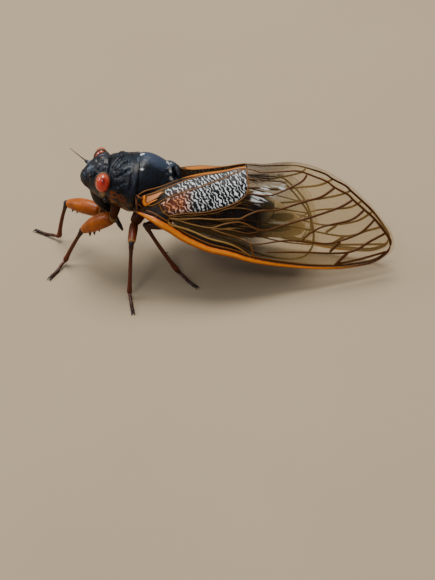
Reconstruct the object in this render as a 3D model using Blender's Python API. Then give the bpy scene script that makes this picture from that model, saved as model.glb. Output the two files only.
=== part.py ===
"""A periodical cicada at rest on its six feet, as a still, life-size museum model.

Blender, metres, +Z up. The head points to -X and the tail to +X, and the left
side faces -Y. The origin is on the floor, in the middle of the model's box.
The body is laid out in its own frame, in millimetres: x runs back from the
front of the head, y to the insect's right and z up from the body's long axis.
"""
import math

import bmesh
import bpy
import numpy as np
from mathutils import Matrix, Vector
from mathutils.geometry import delaunay_2d_cdt

MM = 0.001
GAP = 0.3

# Stance: the body's long axis is tipped up at the head and rolled to its right.
PITCH = math.radians(10)
ROLL = math.radians(-13.5)
BODY_CENTRE = 20.0
FOOTPRINT_CENTRE = Vector((-1.324, 7.107, 0.0))
STANCE = (
    Matrix.Translation(Vector((2.04, 6.61, 10.8)) - FOOTPRINT_CENTRE)
    @ Matrix.Rotation(PITCH, 4, "Y")
    @ Matrix.Rotation(ROLL, 4, "X")
    @ Matrix.Translation((-BODY_CENTRE, 0, 0))
)

# The head is turned a little on the neck: to the left, and back towards upright.
NECK = Vector((3.05, 0.0, -0.3))
HEAD_TURN = (
    Matrix.Translation(NECK)
    @ Matrix.Rotation(math.radians(4.5), 4, "Z")
    @ Matrix.Rotation(math.radians(3.6), 4, "X")
    @ Matrix.Translation(-NECK)
)

SIDES = {"left": -1, "right": 1}
BODY_SEGMENTS = 24

# Planes across the body where one piece ends and the next begins.
NECK_X = 3.05
COLLAR_X = 6.85
WAIST_X = 12.6
WING_ROOT_X = 8.05

# Body stations: x, half width, top, bottom, height of the widest point.
HEAD = [
    (-0.12, 0.50, 0.35, -0.95, -0.35),
    (0.25, 1.00, 1.05, -1.40, -0.35),
    (0.8, 1.45, 1.78, -1.75, -0.30),
    (1.4, 2.15, 2.60, -2.15, -0.15),
    (2.0, 2.80, 2.97, -2.60, 0.10),
    (2.5, 3.12, 3.05, -2.95, 0.25),
    (NECK_X, 3.12, 2.96, -3.08, 0.25),
]
PROTHORAX = [
    (NECK_X + GAP, 3.35, 2.85, -2.75, 0.10),
    (4.0, 3.90, 3.12, -3.25, 0.00),
    (5.0, 4.25, 3.34, -3.60, -0.10),
    (6.2, 4.50, 3.50, -4.00, -0.30),
    (6.4, 4.75, 3.60, -4.00, -0.30),
    (COLLAR_X, 4.70, 3.63, -4.00, -0.30),
]
MESOTHORAX = [
    (COLLAR_X + GAP, 4.00, 3.80, -4.10, -0.60),
    (8.0, 3.80, 3.98, -4.40, -1.00),
    (9.0, 3.35, 3.88, -4.60, -1.60),
    (10.0, 3.00, 3.55, -4.70, -2.00),
    (11.0, 2.85, 3.10, -4.70, -2.40),
    (11.8, 2.75, 2.75, -4.65, -2.60),
    (WAIST_X, 2.60, 2.55, -4.55, -2.70),
]
ABDOMEN = [
    (WAIST_X + GAP, 3.35, 0.40, -4.90, -2.50),
    (15.0, 3.60, 0.95, -5.40, -2.60),
    (18.0, 3.45, 1.15, -5.65, -2.80),
    (21.0, 3.05, 0.95, -5.50, -3.00),
    (24.0, 2.65, 0.45, -5.20, -3.00),
    (26.5, 2.05, -0.30, -4.85, -3.00),
    (28.5, 1.40, -1.30, -4.45, -3.10),
    (29.8, 0.75, -2.30, -3.95, -3.10),
    (30.2, 0.35, -2.75, -3.55, -3.15),
]
ABDOMEN_RINGS = 9
TAIL_CONE = 1.0
GROOVE_DEPTH = 0.96
GROOVE_WIDTH = 0.18

# Lumps that carry the wings, as stations, and how far each stands from the middle plane.
FOREWING_HINGE = [
    (COLLAR_X + GAP, 0.75, 0.15, -2.5, -1.2),
    (7.6, 0.85, 0.25, -2.75, -1.3),
    (WING_ROOT_X, 0.75, 0.15, -2.7, -1.3),
]
FOREWING_HINGE_Y = 4.15
HINDWING_HINGE = [
    (8.4, 0.45, -0.7, -2.0, -1.3),
    (8.9, 0.5, -0.65, -2.3, -1.4),
    (9.3, 0.5, -0.65, -2.4, -1.4),
]
HINDWING_HINGE_Y = 3.4
CROSS_ARM = [(10.6, 1.2, 2.5), (11.6, 0.0, 2.75), (12.5, -0.9, 2.1)]
CROSS_THICKNESS = [0.35, 0.45, 0.25]

EYE_CENTRE = (2.31, 3.8, 0.85)
EYE_RADII = (0.93, 1.15, 1.26)

# The beak runs from inside the head to the rostrum, with its half thicknesses.
BEAK = [(2.0, 0.0, -1.8), (2.45, 0.0, -3.35)]
BEAK_THICKNESS = [0.8, 0.72, 0.45]
BEAK_SEGMENTS = 12
ROSTRUM_ROOT = (4.3, 0.0, -4.75)
ROSTRUM_TIP = (6.3, 0.0, -7.4)
ROSTRUM_THICKNESS = [0.42, 0.38, 0.2]

# Feeler root and tip, then its shares of the length with its half thicknesses there.
ANTENNAE = {
    "left": ((0.7, -1.8, 0.6), (0.75, -4.3, 0.8)),
    "right": ((0.67, 1.5, 0.8), (-2.02, 3.0, 1.92)),
}
ANTENNA_SHAPE = [(0.12, 0.36), (0.24, 0.36), (0.3, 0.27), (0.6, 0.25), (1.0, 0.14)]
ANTENNA_SEGMENTS = 6

# Forewing sections: x, ridge half spacing, ridge height, slope at the ridge and at the costa.
WING_SECTIONS = [
    (7.5, 4.40, -0.40, 78, 92),
    (10.0, 3.20, 0.80, 38, 88),
    (12.5, 1.90, 1.90, 16, 80),
    (15.0, 1.30, 2.80, 12, 76),
    (17.7, 0.85, 3.40, 20, 71),
    (20.8, 0.60, 4.30, 32, 70),
    (25.0, 1.20, 4.50, 54, 74),
    (28.8, 1.25, 4.50, 64, 78),
    (32.0, 1.25, 4.50, 72, 79),
    (34.7, 1.10, 4.50, 75, 81),
    (37.0, 0.80, 4.50, 76, 82),
    (39.5, 0.40, 4.50, 78, 83),
    (42.0, 0.00, 4.50, 80, 85),
]
TURN_LENGTH = 6.0

# Wing outlines and veins: x and the distance down the wing from its ridge line.
FOREWING_OUTLINE = [
    (8.5, 0.15), (10.0, -0.1), (12.5, -0.1), (15.0, -0.1), (17.7, -0.2), (20.8, -0.3),
    (22.9, -0.4), (25.0, -0.95), (27.2, -1.4), (29.8, -1.0), (32.6, 0.0), (35.6, 1.5),
    (37.3, 2.7), (38.8, 3.8), (40.6, 5.4), (41.8, 6.5), (42.35, 7.5), (42.3, 8.4),
    (41.7, 9.7), (39.9, 10.9), (37.0, 11.65), (34.9, 12.0), (31.9, 12.25), (27.7, 12.35),
    (24.8, 12.4), (21.7, 12.45), (18.7, 11.7), (15.7, 10.6), (13.6, 9.2), (11.6, 7.0),
    (9.8, 4.75), (8.5, 3.0), (8.42, 1.5),
]
COSTA = [
    (8.6, 2.85), (9.8, 4.2), (11.65, 6.45), (13.7, 8.7), (15.75, 10.1), (18.7, 11.2), (21.75, 11.95),
    (24.8, 11.9), (27.7, 11.9), (30.9, 11.8), (34.9, 11.5), (36.9, 11.15), (39.8, 10.4), (41.5, 9.1),
    (41.85, 8.0),
]
AMBIENT = [
    (20.9, 0.05), (21.9, 0.25), (22.9, 0.35), (24.2, 0.0), (25.9, -0.4), (27.7, -0.7), (30.0, -0.3),
    (31.6, 0.1), (32.7, 0.7), (34.6, 1.4), (35.4, 2.0), (37.2, 3.2), (38.9, 4.4),
    (40.8, 6.2), (41.65, 7.2), (41.85, 8.0),
]
FOREWING_VEINS = {
    "claval margin": [
        (8.6, 0.35), (9.4, 0.4), (10.7, 0.55), (12.0, 0.65), (13.1, 0.65), (14.4, 0.55), (16.2, 0.35),
        (18.2, 0.15), (20.9, 0.05),
    ],
    "claval suture": [
        (8.8, 1.75), (9.5, 2.1), (10.9, 2.15), (12.7, 2.5), (15.1, 2.4), (17.0, 1.65), (18.9, 0.9),
        (20.9, 0.05),
    ],
    "basal cell": [(10.1, 2.1), (10.8, 3.8), (11.65, 4.9), (11.8, 5.35), (11.6, 5.65)],
    "cubitus": [
        (11.65, 4.9), (13.0, 5.4), (15.5, 5.9), (17.4, 5.65), (19.3, 5.2), (20.5, 4.6), (21.2, 3.8),
        (21.35, 2.8), (21.2, 1.7), (20.9, 0.05),
    ],
    "cubitus branch": [(21.25, 3.6), (24.3, 3.1), (27.0, 1.5), (28.4, 0.4), (28.8, -0.5)],
    "media": [
        (11.8, 5.35), (13.6, 6.3), (16.3, 6.75), (18.9, 6.95), (20.8, 7.0), (21.6, 6.5), (23.4, 5.35),
        (25.7, 4.7), (28.8, 3.2), (31.2, 2.1), (32.7, 0.7),
    ],
    "lower media": [
        (11.8, 5.35), (14.5, 7.2), (17.1, 7.95), (18.9, 7.6), (21.1, 7.45), (24.0, 7.8), (27.0, 6.5),
        (31.1, 4.6), (34.0, 3.1), (35.4, 2.0),
    ],
    "media fork": [(17.1, 7.95), (19.4, 8.35), (22.0, 8.7), (24.0, 7.8)],
    "radius": [(11.6, 5.65), (12.6, 6.8), (16.0, 8.85), (19.4, 10.1), (21.8, 11.0), (23.2, 11.7)],
    "radial branch": [
        (17.1, 7.95), (19.5, 9.0), (22.6, 9.84), (24.0, 9.6), (26.9, 8.7), (29.5, 8.4), (32.9, 8.3),
        (34.9, 7.7),
    ],
    "third apical": [(29.5, 8.4), (31.6, 6.3), (35.7, 4.7), (37.2, 3.2)],
    "fourth apical": [(34.9, 7.7), (37.4, 6.3), (38.9, 4.4)],
    "node": [(22.6, 9.84), (23.1, 10.6), (23.6, 11.7)],
    "radial sector": [(25.0, 10.5), (30.3, 9.8), (36.2, 9.2), (39.0, 7.4), (40.8, 6.2)],
    "inner crossing": [(34.9, 7.7), (33.6, 9.4)],
    "outer crossing": [(36.2, 9.2), (34.6, 11.2)],
    "tip vein": [(34.6, 11.0), (37.2, 10.3), (41.5, 8.8)],
}
HINDWING_OUTLINE = [
    (9.6, 2.5), (12.0, 2.2), (15.0, 1.8), (18.5, 1.2), (22.0, 0.75), (24.7, 0.5), (26.4, 0.45),
    (27.9, 0.95), (29.3, 2.0), (30.5, 3.4), (31.3, 4.9), (31.9, 6.6), (32.25, 8.9), (31.9, 9.9),
    (30.9, 10.9), (29.3, 11.4), (27.3, 11.5), (25.1, 11.5), (21.6, 10.95), (18.0, 9.8),
    (15.0, 8.1), (12.0, 5.7), (10.6, 4.7), (9.6, 4.4),
]
HINDWING_VEINS = {
    "costa": [
        (10.0, 4.0), (12.2, 5.3), (15.2, 7.6), (18.2, 9.2), (21.8, 10.4), (24.5, 11.0), (27.5, 11.2),
        (29.4, 11.0), (30.9, 10.3), (31.6, 8.9),
    ],
    "rim": [
        (19.0, 1.6), (21.5, 1.2), (23.6, 0.95), (25.0, 0.85), (26.0, 0.9), (27.0, 1.6), (28.6, 3.0),
        (30.1, 4.7), (31.2, 6.9), (31.6, 8.9),
    ],
    "radius": [(10.0, 3.7), (14.5, 5.6), (19.0, 7.4), (24.0, 8.6), (28.0, 9.0), (31.6, 8.9)],
    "media": [(19.0, 7.4), (24.0, 6.9), (31.2, 6.9)],
    "cubitus": [(10.0, 3.3), (15.0, 4.0), (21.0, 4.7), (25.0, 4.6), (30.1, 4.7)],
    "anal": [(10.0, 3.0), (15.0, 2.9), (20.0, 2.7), (27.0, 1.6)],
}
MEMBRANE = 0.5
VEIN_RIDGE = 0.22
COSTA_RIDGE = 0.35
VEIN_HALF_WIDTH = 0.3
HINDWING_DEPTH = 1.12
WING_GRID = 1.7
GRID_ROW_SHARE = 0.87
GRID_ROOM = WING_GRID * 0.5
RIM_ROOM = VEIN_HALF_WIDTH * 0.8
WING_PATH_STEP = 1.3
EDGE_ROOM = 0.25

# Leg joints on the floor's frame: coxa end, knee, ankle, toe. Then the half thickness
# of the coxa, the femur's middle and its knee, the tibia, and the tarsus.
LEGS = {
    "fore_left": ((-13.8, 3.6, 9.2), (-18.15, 5.1, 5.8), (-20.7, 5.05, 0.7), (-22.4, 2.0, 0.25)),
    "fore_right": ((-15.7, 8.0, 6.8), (-20.7, 10.6, 6.2), (-22.0, 10.25, 0.7), (-25.3, 12.1, 0.25)),
    "mid_left": ((-10.95, 2.9, 8.9), (-11.2, -0.2, 7.9), (-11.6, -1.65, 0.7), (-11.0, -4.85, 0.25)),
    "mid_right": ((-11.0, 9.4, 7.6), (-11.4, 13.0, 7.2), (-11.2, 16.2, 0.7), (-9.9, 19.0, 0.25)),
    "hind_left": ((-6.8, 3.2, 8.3), (-9.55, 3.6, 8.0), (-5.3, 2.9, 0.7), (-3.0, 0.5, 0.25)),
    "hind_right": ((-7.1, 8.9, 6.9), (-5.1, 13.2, 4.3), (2.4, 15.4, 0.7), (5.4, 17.2, 0.25)),
}
LEG_THICKNESS = {
    "fore": (0.68, 0.98, 0.55, 0.36, 0.27),
    "mid": (0.70, 0.55, 0.42, 0.32, 0.26),
    "hind": (0.70, 0.55, 0.42, 0.33, 0.26),
}
COXA_ROOT = {
    "fore": (4.9, 1.7, -2.9),
    "mid": (8.3, 1.7, -3.3),
    "hind": (11.65, 1.4, -3.5),
}
LEG_SEGMENTS = 8

# Shares of a length, each with its thickness as a share of that length's thickness.
COXA_SHAPE = [(0.0, 1.25), (0.55, 1.1), (1.0, 0.8)]
FEMUR_SHAPE = [(0.0, 0.75), (0.15, 0.95), (0.45, 1.0), (0.75, 0.85)]
KNEE_SHAPE = [(0.93, 1.0), (1.0, 0.85)]
MITRE_ROOM = 1.1
TIBIA_SHAPE = [(0.0, 1.15), (0.12, 1.0), (0.5, 0.9), (0.9, 1.05), (1.0, 1.1)]
TARSUS_SHAPE = [1.1, 1.0, 1.05]
TARSUS_REST = 0.6
TARSUS_SINK = 0.95

# Fore femur spines: share of the femur, and length beyond its skin. Each begins inside
# the femur, at a share of its half thickness, and slants downwards and forwards.
FEMUR_SPINES = [(0.45, 0.45), (0.62, 0.6), (0.78, 0.7)]
SPINE_THICKNESS = [0.28, 0.06]
SPINE_ROOT_DEPTH = 0.3
SPINE_SINK = 0.6
SPINE_SLANT = (0.9, 0.45)

# Claw places from the toe: share of the claw's length ahead, then to the side.
CLAW_ROOT_BACK = 0.3
CLAW_MIDDLE = (0.55, 0.35)
CLAW_TIP = (0.85, 0.6)
CLAW_LENGTH = 0.95
CLAW_THICKNESS = [0.2, 0.17, 0.06]
CLAW_TIP_Z = 0.07
SMALL_SEGMENTS = 5

COLOURS = {
    "black": ((0.010, 0.011, 0.014), 0.35),
    "eye": ((0.55, 0.05, 0.03), 0.22),
    "orange": ((0.42, 0.14, 0.03), 0.40),
    "brown": ((0.10, 0.035, 0.015), 0.45),
    "wing": ((0.62, 0.40, 0.16), 0.30),
}


def clear_scene():
    for obj in list(bpy.data.objects):
        bpy.data.objects.remove(obj, do_unlink=True)


def material(name):
    found = bpy.data.materials.get(name)
    if found:
        return found
    colour, roughness = COLOURS[name]
    made = bpy.data.materials.new(name)
    made.use_nodes = True
    shader = made.node_tree.nodes["Principled BSDF"]
    shader.inputs["Base Color"].default_value = (*colour, 1.0)
    shader.inputs["Roughness"].default_value = roughness
    shader.inputs["Metallic"].default_value = 0.0
    return made


def body_point(x, y, z):
    """A point of the body's own frame, set into the stance."""
    return STANCE @ Vector((x, y, z))


def head_point(x, y, z):
    """A point of the head, which is turned on the neck."""
    return STANCE @ HEAD_TURN @ Vector((x, y, z))


def floor_point(x, y, z):
    return Vector((x, y, z)) - FOOTPRINT_CENTRE


def add_object(name, bm, colour):
    """Turn a bmesh in millimetres into a named object in metres."""
    bmesh.ops.recalc_face_normals(bm, faces=bm.faces[:])
    if bm.calc_volume(signed=True) < 0:
        bmesh.ops.reverse_faces(bm, faces=bm.faces[:])
    bmesh.ops.scale(bm, vec=(MM, MM, MM), verts=bm.verts[:])
    mesh = bpy.data.meshes.new(name)
    bm.to_mesh(mesh)
    bm.free()
    mesh.materials.append(material(colour))
    mesh.shade_smooth()
    mesh.set_sharp_from_angle(angle=math.radians(40))
    obj = bpy.data.objects.new(name, mesh)
    bpy.context.scene.collection.objects.link(obj)
    return obj


def largest_shell(obj):
    """Keep only the largest closed surface of an object's mesh."""
    bm = bmesh.new()
    bm.from_mesh(obj.data)
    left = set(bm.faces)
    shells = []
    while left:
        todo = [left.pop()]
        shell = set(todo)
        while todo:
            for edge in todo.pop().edges:
                for face in edge.link_faces:
                    if face in left:
                        left.discard(face)
                        shell.add(face)
                        todo.append(face)
        shells.append(shell)
    keep = max(shells, key=lambda s: sum(f.calc_area() for f in s))
    bmesh.ops.delete(bm, geom=[f for f in bm.faces if f not in keep], context="FACES")
    bm.to_mesh(obj.data)
    bm.free()


def combine(obj, others, operation):
    """Join or cut other closed objects into one, then remove them."""
    group = bpy.data.collections.new("pieces")
    bpy.context.scene.collection.children.link(group)
    for other in others:
        group.objects.link(other)
    modifier = obj.modifiers.new("combine", "BOOLEAN")
    modifier.operation = operation
    modifier.operand_type = "COLLECTION"
    modifier.collection = group
    modifier.solver = "EXACT"
    bpy.context.view_layer.update()
    evaluated = obj.evaluated_get(bpy.context.evaluated_depsgraph_get())
    mesh = bpy.data.meshes.new_from_object(evaluated)
    obj.modifiers.clear()
    obj.data = mesh
    for other in others:
        bpy.data.objects.remove(other, do_unlink=True)
    bpy.data.collections.remove(group)
    largest_shell(obj)
    return obj


def hermite(x, table):
    """Read the columns of a station table at x on a smooth curve through its rows."""
    rows = np.array(table, float)
    slopes = np.gradient(rows[:, 1:], rows[:, 0], axis=0)
    i = int(np.clip(np.searchsorted(rows[:, 0], x) - 1, 0, len(rows) - 2))
    step = rows[i + 1, 0] - rows[i, 0]
    t = (x - rows[i, 0]) / step
    return (
        (2 * t**3 - 3 * t**2 + 1) * rows[i, 1:]
        + (t**3 - 2 * t**2 + t) * step * slopes[i]
        + (3 * t**2 - 2 * t**3) * rows[i + 1, 1:]
        + (t**3 - t**2) * step * slopes[i + 1]
    )


def ring(bm, count, cap=False):
    made = bmesh.ops.create_circle(bm, cap_ends=cap, segments=count, radius=1.0)
    return made["verts"]


def ring_edges(verts):
    group = set(verts)
    return list({e for v in verts for e in v.link_edges if set(e.verts) <= group and len(e.link_faces) < 2})


def bridge(bm, rings):
    for first, second in zip(rings, rings[1:]):
        bmesh.ops.bridge_loops(bm, edges=ring_edges(first) + ring_edges(second))


def body_shell(stations, side_shift=0.0, turned=0):
    """A closed shell through oval rings across the body's axis, the first ones turned with the head."""
    bm = bmesh.new()
    rings = []
    for index, (x, half_width, top, bottom, waist) in enumerate(stations):
        verts = ring(bm, BODY_SEGMENTS, cap=index in (0, len(stations) - 1))
        placed = head_point if index < turned else body_point
        for vert in verts:
            across, up = vert.co.x, vert.co.y
            reach = (top - waist) if up > 0 else (waist - bottom)
            vert.co = placed(x, side_shift + half_width * across, waist + reach * up)
        rings.append(verts)
    bridge(bm, rings)
    return bm


def tube(points, radii, start_normal=None, end_normal=None, count=LEG_SEGMENTS, floor=None):
    """A closed tube through world points whose two ends lie on given planes."""
    bm = bmesh.new()
    rings = []
    last = len(points) - 1
    for index, (point, radius) in enumerate(zip(points, radii)):
        ahead = points[min(index + 1, last)] - points[max(index - 1, 0)]
        axis = ahead.normalized()
        plane = {0: start_normal, last: end_normal}.get(index) or axis
        turn = axis.to_track_quat("Z", "Y").to_matrix()
        verts = ring(bm, count, cap=index in (0, last))
        for vert in verts:
            offset = turn @ (vert.co * radius)
            offset -= axis * (offset.dot(plane) / axis.dot(plane))
            vert.co = point + offset
            if floor is not None:
                vert.co.z = max(vert.co.z, floor)
        rings.append(verts)
    bridge(bm, rings)
    return bm


def make_head():
    head = add_object("head", body_shell(HEAD, turned=len(HEAD)), "black")
    beak_path = [head_point(*p) for p in BEAK] + [body_point(*ROSTRUM_ROOT)]
    beak_tube = tube(beak_path, BEAK_THICKNESS, end_normal=rostrum_axis(), count=BEAK_SEGMENTS)
    beak = add_object("beak", beak_tube, "black")
    combine(head, [beak], "UNION")
    sockets = [eye_solid("socket", side, GAP) for side in SIDES.values()]
    return combine(head, sockets, "DIFFERENCE")


def eye_solid(name, side, clearance):
    bm = bmesh.new()
    bmesh.ops.create_uvsphere(bm, u_segments=20, v_segments=12, radius=1.0)
    centre = Vector((EYE_CENTRE[0], side * EYE_CENTRE[1], EYE_CENTRE[2]))
    for vert in bm.verts:
        offset = Vector([c * (r + clearance) for c, r in zip(vert.co, EYE_RADII)])
        vert.co = head_point(*(centre + offset))
    return add_object(name, bm, "eye")


def rostrum_axis():
    return (body_point(*ROSTRUM_TIP) - body_point(*ROSTRUM_ROOT)).normalized()


def make_rostrum():
    root, tip = body_point(*ROSTRUM_ROOT), body_point(*ROSTRUM_TIP)
    points = [root + rostrum_axis() * GAP, root.lerp(tip, 0.5), tip]
    return add_object("rostrum", tube(points, ROSTRUM_THICKNESS), "brown")


def make_antenna(side_name):
    root, tip = [head_point(*p) for p in ANTENNAE[side_name]]
    points = [root.lerp(tip, share) for share, _ in ANTENNA_SHAPE]
    sizes = [size for _, size in ANTENNA_SHAPE]
    return add_object(f"antenna_{side_name}", tube(points, sizes, count=ANTENNA_SEGMENTS), "black")


def coxa(kind, side_name):
    """The leg's first length, a stub that is one with the thorax above it."""
    side = SIDES[side_name]
    x, y, z = COXA_ROOT[kind]
    root = body_point(x, side * y, z)
    joint, knee = [floor_point(*p) for p in LEGS[f"{kind}_{side_name}"][:2]]
    thick = LEG_THICKNESS[kind][0]
    normal = ((joint - root).normalized() + (knee - joint).normalized()).normalized()
    end = joint - normal * GAP / 2
    points = [root.lerp(end, share) for share, _ in COXA_SHAPE]
    sizes = [thick * size for _, size in COXA_SHAPE]
    return add_object("coxa", tube(points, sizes, end_normal=normal), "brown")


def make_prothorax():
    prothorax = add_object("prothorax", body_shell(PROTHORAX, turned=1), "black")
    combine(prothorax, [coxa("fore", side) for side in SIDES], "UNION")
    sockets = [eye_solid("socket", side, GAP) for side in SIDES.values()]
    return combine(prothorax, sockets, "DIFFERENCE")


def wing_hinges(side):
    """The lumps that carry the two wings of one side, flat where the wings begin."""
    return [
        add_object("hinge", body_shell(stations, side_shift=side * out), "black")
        for stations, out in ((FOREWING_HINGE, FOREWING_HINGE_Y), (HINDWING_HINGE, HINDWING_HINGE_Y))
    ]


def cruciform():
    """The raised cross at the rear of the mesonotum."""
    axis = (STANCE.to_3x3() @ Vector((1, 0, 0))).normalized()
    arms = []
    for side in (-1, 1):
        points = [body_point(x, side * y, z) for x, y, z in CROSS_ARM]
        arms.append(add_object("arm", tube(points, CROSS_THICKNESS, end_normal=axis), "black"))
    return arms


def make_mesothorax():
    mesothorax = add_object("mesothorax", body_shell(MESOTHORAX), "black")
    pieces = [coxa(kind, side) for kind in ("mid", "hind") for side in SIDES]
    for side in SIDES.values():
        pieces += wing_hinges(side)
    return combine(mesothorax, pieces + cruciform(), "UNION")


def make_abdomen():
    """Rings that narrow to the tail, each a little proud of the groove behind it."""
    first, last = ABDOMEN[0][0], ABDOMEN[-1][0]
    stations = [ABDOMEN[0]]
    for index in range(1, ABDOMEN_RINGS):
        x = first + (last - TAIL_CONE - first) * index / ABDOMEN_RINGS
        for place, shrink in ((x - GROOVE_WIDTH, 1.0), (x, GROOVE_DEPTH), (x + GROOVE_WIDTH, 1.0)):
            half_width, top, bottom, waist = hermite(place, ABDOMEN)
            stations.append((
                place,
                half_width * shrink,
                waist + (top - waist) * shrink,
                waist - (waist - bottom) * shrink,
                waist,
            ))
    stations += ABDOMEN[-2:]
    return add_object("abdomen", body_shell(stations), "black")


def wing_section(x, down, side):
    """The point of the wing's middle surface at x, a distance down from its ridge."""
    spacing, height, slope, last_slope = hermite(x, WING_SECTIONS)
    slope, last_slope = math.radians(slope), math.radians(last_slope)
    turn = (last_slope - slope) / TURN_LENGTH
    curved = min(max(down, 0.0), TURN_LENGTH)
    angle = slope + turn * curved
    out = (math.sin(angle) - math.sin(slope)) / turn + (down - curved) * math.cos(angle)
    drop = (math.cos(slope) - math.cos(angle)) / turn + (down - curved) * math.sin(angle)
    return body_point(x, side * (spacing + out), height - drop)


def wing_normal(x, down, side):
    """The outward normal of the wing's middle surface."""
    step = 0.05
    along = wing_section(x + step, down, side) - wing_section(x - step, down, side)
    across = wing_section(x, down + step, side) - wing_section(x, down - step, side)
    return (side * along.cross(across)).normalized()


def smooth_path(points, spacing, closed=False):
    """Points at an even spacing on a smooth curve through the given ones."""
    knots = [np.array(p, float) for p in points]
    ends = [knots[-1], *knots, knots[0], knots[1]] if closed else [knots[0], *knots, knots[-1]]
    path = []
    for a, b, c, d in zip(ends, ends[1:], ends[2:], ends[3:]):
        count = max(1, round(float(np.linalg.norm(c - b)) / spacing))
        for k in range(count):
            t = k / count
            path.append(0.5 * (
                2 * b + (c - a) * t + (2 * a - 5 * b + 4 * c - d) * t**2 + (3 * b - a - 3 * c + d) * t**3
            ))
    if not closed:
        path.append(knots[-1])
    return path


def distance_to(path, points):
    """The distance from each point to a path of short straight lengths."""
    best = np.full(len(points), 1e9)
    for a, b in zip(path, path[1:]):
        along = b - a
        t = np.clip(((points - a) @ along) / max(along @ along, 1e-9), 0, 1)
        best = np.minimum(best, np.linalg.norm(points - (a + t[:, None] * along), axis=1))
    return best


def inside(outline, points):
    """Which points lie inside a closed outline."""
    hit = np.zeros(len(points), bool)
    for a, b in zip(outline, outline[1:] + outline[:1]):
        crosses = (a[1] > points[:, 1]) != (b[1] > points[:, 1])
        if a[1] != b[1]:
            hit ^= crosses & (points[:, 0] < a[0] + (points[:, 1] - a[1]) / (b[1] - a[1]) * (b[0] - a[0]))
    return hit


def wing_plan(outline, veins):
    """Split a wing's flat plan into triangles along its edge and its veins."""
    edge = smooth_path(outline, WING_PATH_STEP, closed=True)
    paths = [smooth_path(vein, WING_PATH_STEP) for vein in veins]
    points = list(edge)
    constraints = []
    rims = []
    for path in paths:
        start = len(points)
        points += path
        constraints += [(start + k, start + k + 1) for k in range(len(path) - 1)]
        for a, b in zip(path, path[1:]):
            sideways = np.array((a[1] - b[1], b[0] - a[0])) / max(np.linalg.norm(b - a), 1e-9)
            rims += [(a + b) / 2 + sideways * VEIN_HALF_WIDTH * k for k in (-1, 1)]
    low, high = np.min(edge, axis=0), np.max(edge, axis=0)
    grid = []
    for row, down in enumerate(np.arange(low[1], high[1], WING_GRID * GRID_ROW_SHARE)):
        offset = WING_GRID / 2 * (row % 2)
        grid += [(x, down) for x in np.arange(low[0] + offset, high[0], WING_GRID)]
    closed_edge = edge + edge[:1]
    for extra, vein_room in ((np.array(rims), RIM_ROOM), (np.array(grid), GRID_ROOM)):
        clear = inside(edge, extra) & (distance_to(closed_edge, extra) > EDGE_ROOM)
        for path in paths:
            clear &= distance_to(path, extra) > vein_room
        points += list(extra[clear])
    flat, _, faces, *_ = delaunay_2d_cdt(
        [Vector(p) for p in points], constraints, [list(range(len(edge)))], 1, 1e-4
    )
    return np.array([tuple(p) for p in flat]), faces, paths


def make_wing(name, side, outline, veins, strong_veins, depth):
    """A thin curved wing whose veins are ridges raised in its outer face."""
    plan, faces, paths = wing_plan(outline, veins)
    ridge = np.zeros(len(plan))
    for index, path in enumerate(paths):
        height = COSTA_RIDGE if index < strong_veins else VEIN_RIDGE
        near = np.clip(1 - distance_to(path, plan) / VEIN_HALF_WIDTH, 0, 1)
        ridge = np.maximum(ridge, height * near)
    bm = bmesh.new()
    verts = []
    thickness = {}
    for (x, down), rise in zip(plan, ridge):
        normal = wing_normal(x, down, side)
        middle = wing_section(x, down, side) - normal * depth
        vert = bm.verts.new(middle + normal * (MEMBRANE / 2 + rise))
        verts.append(vert)
        thickness[tuple(vert.co)] = normal * (MEMBRANE + rise)
    for face in faces:
        bm.faces.new([verts[k] for k in face])
    bm.verts.index_update()
    made = bmesh.ops.extrude_face_region(bm, geom=bm.faces[:], use_keep_orig=True)
    for vert in made["geom"]:
        if isinstance(vert, bmesh.types.BMVert):
            vert.co -= thickness[tuple(vert.co)]
    return add_object(name, bm, "wing")


def leg_path(key):
    return [floor_point(*p) for p in LEGS[key]]


def joint_normal(path, index):
    before = (path[index] - path[index - 1]).normalized()
    after = (path[index + 1] - path[index]).normalized()
    return (before + after).normalized()


def mitre_share(thick, axis, plane, length):
    """The share of a length that its slanted end face takes up."""
    slant = math.tan(math.acos(min(1.0, axis.dot(plane))))
    return MITRE_ROOM * thick * slant / length


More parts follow.
